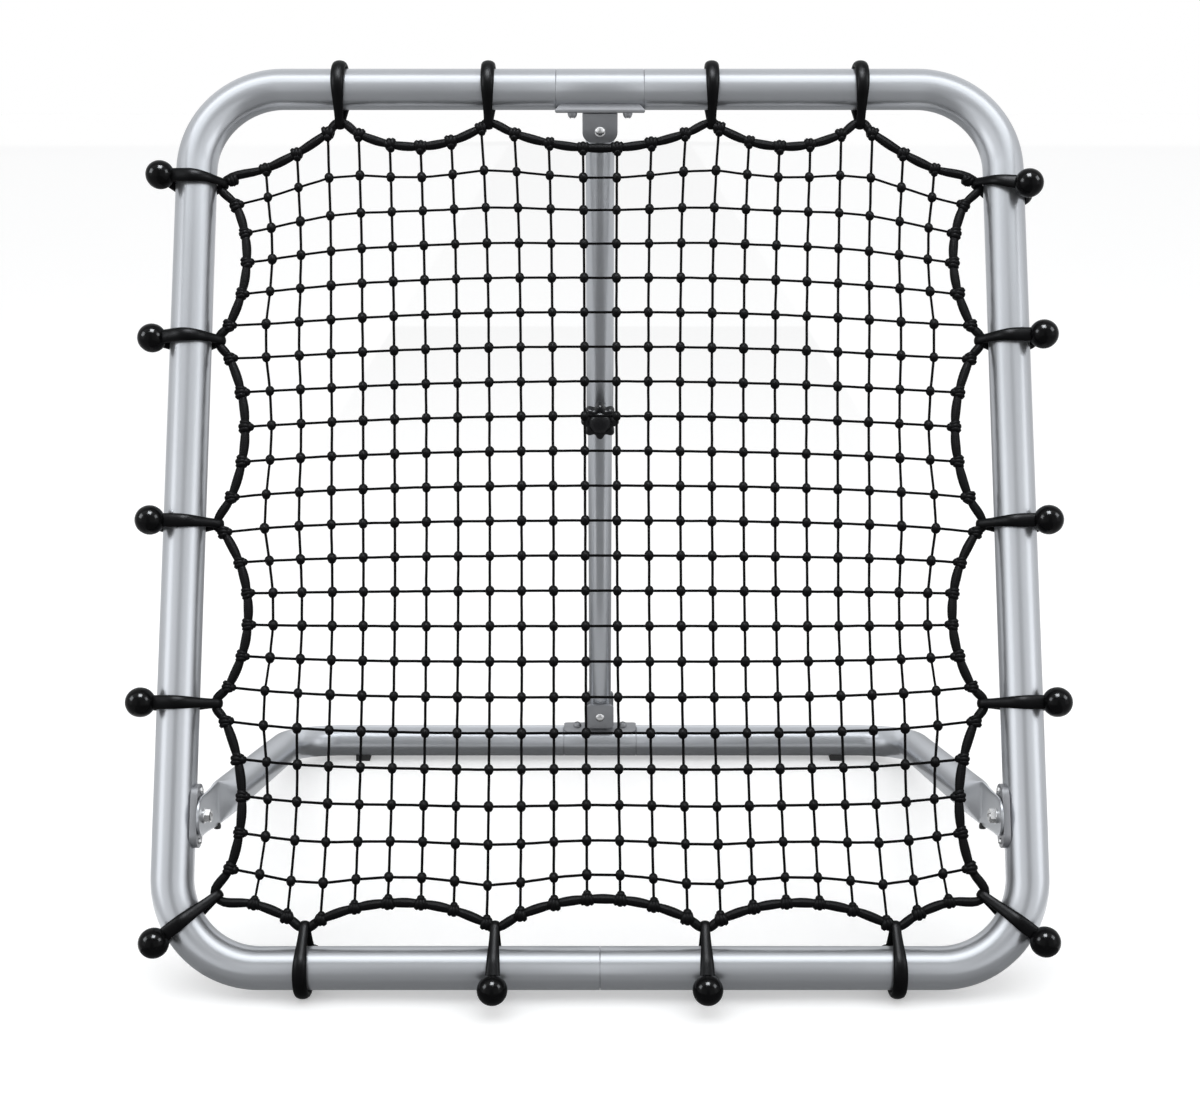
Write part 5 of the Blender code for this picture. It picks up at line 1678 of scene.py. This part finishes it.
# Upright cards, as the azimuth from the front, the half width in degrees, and their low and high
# edges with the level between. Floor cards, as their corners, height and level. Ceiling cards, as
# their near and far edge, half width, height and level.
CARD_DISTANCE = 9.0
CARD_ARCS = (
    (0.0, 13.0, ((0.0, 1.8, 0.37), (1.8, 4.6, 0.43), (4.6, 9.0, 0.58))),
    (23.0, 10.0, ((0.0, 9.0, 1.0),)),
    (42.0, 9.0, ((0.0, 9.0, 1.1),)),
    (64.0, 13.0, ((0.0, 9.0, 1.85),)),
    (90.0, 13.0, ((0.0, 9.0, 0.95),)),
    (122.0, 19.0, ((0.0, 9.0, 0.74),)),
    (160.5, 19.5, ((0.0, 9.0, 0.64),)),
)
# The floor cards lie just above the floor, and only glossy surfaces see them, so the tubes reflect
# a floor darker than the white one that the camera sees
FLOOR_CARDS = (
    (((-9.0, -9.0), (-0.56, -9.0), (-0.56, 9.0), (-9.0, 9.0)), 0.001, 0.8),
    (((0.56, -9.0), (9.0, -9.0), (9.0, 9.0), (0.56, 9.0)), 0.001, 0.8),
    (((-3.2, -9.0), (3.2, -9.0), (0.55, -0.3), (0.16, 0.05), (-0.16, 0.05), (-0.55, -0.3)),
     0.0014, 0.31),
    (((-0.7, 0.05), (0.7, 0.05), (0.7, 0.3), (-0.7, 0.3)), 0.0014, 0.60),
    (((-0.9, 0.3), (0.9, 0.3), (0.9, 3.0), (-0.9, 3.0)), 0.0014, 0.34),
    # The last two are painted shadow: dark strips right under the bottom and the rear bar that
    # stand in for the floor's shade under them, as the tubes' lower edges reflect it
    (((-0.37, -0.28), (0.37, -0.28), (0.37, -0.15), (-0.37, -0.15)), 0.0018, 0.24),
    (((-0.33, 0.20), (0.33, 0.20), (0.33, 0.40), (-0.33, 0.40)), 0.0018, 0.12),
)
CEILING_CARDS = ((-3.6, -1.2, 6.0, 4.2, 0.34), (0.05, 1.9, 4.0, 2.6, 0.85),
                 (1.9, 7.0, 4.0, 2.6, 0.95))
CARD_TINT = (0.97, 0.985, 1.0, 1.0)

# Lamps whose highlight only the stand's tubes take, as place, target, width, depth and level: a
# strip above for the rear bar and a wide lamp behind for the arms.
STAND_LAMPS = (((0.0, -0.62, 2.15), (0.0, -0.62, 0.0), 3.6, 0.9, 1.1),
               ((0.0, 3.6, 1.05), (0.0, 0.0, 0.1), 6.0, 2.0, 0.5))
STAND_TUBES = ("stand_tube_left", "stand_tube_right", "rear_sleeve")

# Small boxes whose glint only the black parts take, as place and side in metres, and level.
GLINTS = (((0.0, -0.75, 3.2), 1.15, 115.0), ((-2.9, -0.9, 2.0), 1.35, 26.0),
          ((2.9, -0.9, 2.4), 1.35, 26.0))
GLINT_TAKERS = ("bungee_balls", "clamp_knob_moulded", "bungee_straps", "rope_ties",
                "corner_collars", "net_knots", "border_rope_braided")


def background_rays(desk):
    """1 for the rays that see the backdrop: the camera's, and those through gloss or glass."""
    rays = desk.add("ShaderNodeLightPath")
    seen = rays.maths("MAXIMUM", rays["Is Camera Ray"], rays["Is Glossy Ray"])
    return rays.maths("MAXIMUM", seen, rays["Is Transmission Ray"])


def lamp(name, place, target, width, height, power, tint=(1.0, 1.0, 1.0)):
    """A softbox that faces a target."""
    data = bpy.data.lights.new(name, "AREA")
    data.shape = "RECTANGLE"
    data.size = width
    data.size_y = height
    data.energy = power
    data.color = tint
    made = new_object(name, data)
    made.location = place
    made.rotation_euler = (Vector(target) - Vector(place)).to_track_quat("-Z", "Y").to_euler()
    return made


def card(name, corners, level):
    """A card that glows at its level and that only glossy surfaces see: a glowing panel that the
    tubes reflect as a bright or dark part of the studio, and that lights nothing.
    """
    desk = ShaderDesk(name + "_grey")
    desk.set("Base Color", (0.0, 0.0, 0.0, 1.0))
    desk.set("Specular IOR Level", 0.0)
    desk.set("Emission Color", CARD_TINT)
    desk.set("Emission Strength", level)
    mesh = bpy.data.meshes.new(name)
    mesh.from_pydata([tuple(corner) for corner in corners], [], [range(len(corners))])
    mesh.materials.append(desk.material)
    made = new_object(name, mesh)
    made.visible_camera = False
    made.visible_diffuse = False
    made.visible_shadow = False
    made.visible_transmission = False


class REBOUND_OT_stage(bpy.types.Operator):
    """Set up the white studio, its lamps, its cards and the camera"""
    bl_idname = "rebound.stage"
    bl_label = "Studio"

    def execute(self, context):
        self.floor()
        self.world(context.scene)
        self.lights()
        self.cards()
        self.camera(context.scene)
        context.scene.view_settings.view_transform = "Standard"
        return {"FINISHED"}

    def floor(self):
        """A pale floor that fades into the white background and keeps the shadows."""
        mesh = bpy.data.meshes.new("studio_floor")
        mesh.from_pydata([(x * FLOOR_HALF, y * FLOOR_HALF, 0)
                          for x, y in ((-1, -1), (1, -1), (1, 1), (-1, 1))], [], [(0, 1, 2, 3)])
        desk = ShaderDesk("studio_floor_white")
        desk.set("Base Color", (FLOOR_GREY, FLOOR_GREY, FLOOR_GREY, 1.0))
        desk.set("Roughness", FLOOR_ROUGHNESS)
        glow = desk.add("ShaderNodeEmission", {
            "Color": (*sizes().finishes.backdrop, 1.0), "Strength": FLOOR_GLOW})
        paint = Wire(desk, desk.shader, desk.shader.outputs[0])
        both = desk.add("ShaderNodeAddShader", {0: glow, 1: paint})
        chosen = desk.add("ShaderNodeMixShader", {0: background_rays(desk), 1: paint, 2: both})
        output = desk.tree.nodes["Material Output"]
        desk.tree.links.new(chosen.socket, output.inputs["Surface"])
        mesh.materials.append(desk.material)
        new_object("studio_floor", mesh)

    def world(self, scene):
        world = bpy.data.worlds.new("studio")
        scene.world = world
        world.use_nodes = True
        desk = Desk(world.node_tree)
        world.node_tree.nodes.clear()
        level = background_rays(desk) * (1.0 - WORLD_LIGHT) + WORLD_LIGHT
        glow = desk.add("ShaderNodeBackground", {
            "Color": (*sizes().finishes.backdrop, 1.0), "Strength": level})
        desk.add("ShaderNodeOutputWorld", {"Surface": glow})

    def lights(self):
        """A long bluish strip overhead, weak boxes at both sides, and the glints."""
        lamp("overhead_strip", *OVERHEAD_STRIP, STRIP_TINT)
        (x, y, z), *box = SIDE_BOX
        for word, side in SIDES:
            lamp(f"{word}_box", (side * x, y, z), *box).visible_glossy = False
        blacks = self.group("glint_takers", GLINT_TAKERS)
        for number, (place, width, level) in enumerate(GLINTS):
            self.shine(f"glint_{number}", place, GLINT_TARGET, width, width, level, blacks)
        tubes = self.group("stand_tubes", STAND_TUBES)
        for number, strip in enumerate(STAND_LAMPS):
            self.shine(f"stand_lamp_{number}", *strip, tubes)

    def group(self, name, pieces):
        made = bpy.data.collections.new(name)
        for piece in pieces:
            made.objects.link(bpy.data.objects[piece])
        return made

    def shine(self, name, place, target, width, depth, level, takers):
        """A lamp that adds a highlight to a group of pieces and no other light."""
        made = lamp(name, place, target, width, depth, level * math.pi * width * depth,
                    GLINT_TINT)
        made.visible_diffuse = False
        made.visible_camera = False
        made.light_linking.receiver_collection = takers

    def cards(self):
        """Cards round the set, which give the satin tubes their bright and dark bands."""
        for azimuth, reach, levels in CARD_ARCS:
            for side in ((-1, 1) if azimuth else (1,)):
                for low, high, level in levels:
                    self.arc_card(side * azimuth, reach, low, high, level)
        for number, (corners, height, level) in enumerate(FLOOR_CARDS):
            card(f"floor_card_{number}", [Vector((x, y, height)) for x, y in corners], level)
        for number, (near, far, half, height, level) in enumerate(CEILING_CARDS):
            card(f"ceiling_card_{number}", [Vector((x, y, height)) for x, y in (
                (-half, near), (half, near), (half, far), (-half, far))], level)

    def arc_card(self, azimuth, reach, low, high, level):
        """An upright card far from the set, centred on an azimuth from the front, between two
        heights."""
        turn = math.radians(azimuth)
        centre = Vector((math.sin(turn), -math.cos(turn), 0)) * CARD_DISTANCE
        along = (Vector((math.cos(turn), math.sin(turn), 0))
                 * CARD_DISTANCE * math.tan(math.radians(reach)))
        card(f"card_{azimuth:.0f}_{low:.0f}", [centre - along + AXIS_Z * low,
                                               centre + along + AXIS_Z * low,
                                               centre + along + AXIS_Z * high,
                                               centre - along + AXIS_Z * high], level)

    def camera(self, scene):
        data = bpy.data.cameras.new("camera")
        data.sensor_fit = "HORIZONTAL"
        data.sensor_width = SENSOR
        data.lens = FOCAL_LENGTH
        made = new_object("camera", data)
        made.location = CAMERA_PLACE
        made.rotation_euler = (math.pi / 2 - CAMERA_PITCH, 0.0, 0.0)
        scene.camera = made


class ReboundNet(bpy.types.PropertyGroup):
    """Everything that the rebound net's panel sets"""
    frame: PointerProperty(type=FrameSizes)
    stand: PointerProperty(type=StandSizes)
    strut: PointerProperty(type=StrutSizes)
    net: PointerProperty(type=NetSizes)
    finishes: PointerProperty(type=Finishes)


OPERATORS = (REBOUND_OT_frame_tubes, REBOUND_OT_brackets, REBOUND_OT_stand, REBOUND_OT_strut,
             REBOUND_OT_clamp, REBOUND_OT_bungees, REBOUND_OT_rope, REBOUND_OT_net,
             REBOUND_OT_carried_nodes, REBOUND_OT_stage)


class REBOUND_PT_panel(bpy.types.Panel):
    """Lists the rebound net's pieces and their sizes"""
    bl_idname = "REBOUND_PT_panel"
    bl_label = "Rebound Net"
    bl_space_type = "VIEW_3D"
    bl_region_type = "UI"
    bl_category = "Rebound Net"

    def draw(self, context):
        column = self.layout.column()
        for operator in OPERATORS:
            column.operator(operator.bl_idname)
        for name in ("frame", "stand", "strut", "net", "finishes"):
            group = getattr(sizes(), name)
            box = column.box()
            box.label(text=name.capitalize())
            for field in group.__annotations__:
                box.prop(group, field, text=field.replace("_", " ").capitalize())


CLASSES = (FrameSizes, StandSizes, StrutSizes, NetSizes, Finishes, ReboundNet, *OPERATORS,
           REBOUND_PT_panel)


def register():
    for entry in CLASSES:
        bpy.utils.register_class(entry)
    bpy.types.Scene.rebound_net = PointerProperty(type=ReboundNet)


def unregister():
    del bpy.types.Scene.rebound_net
    for entry in reversed(CLASSES):
        bpy.utils.unregister_class(entry)


def main():
    register()
    for operator in OPERATORS:
        family, name = operator.bl_idname.split(".")
        getattr(getattr(bpy.ops, family), name)()


if __name__ == "__main__":
    main()
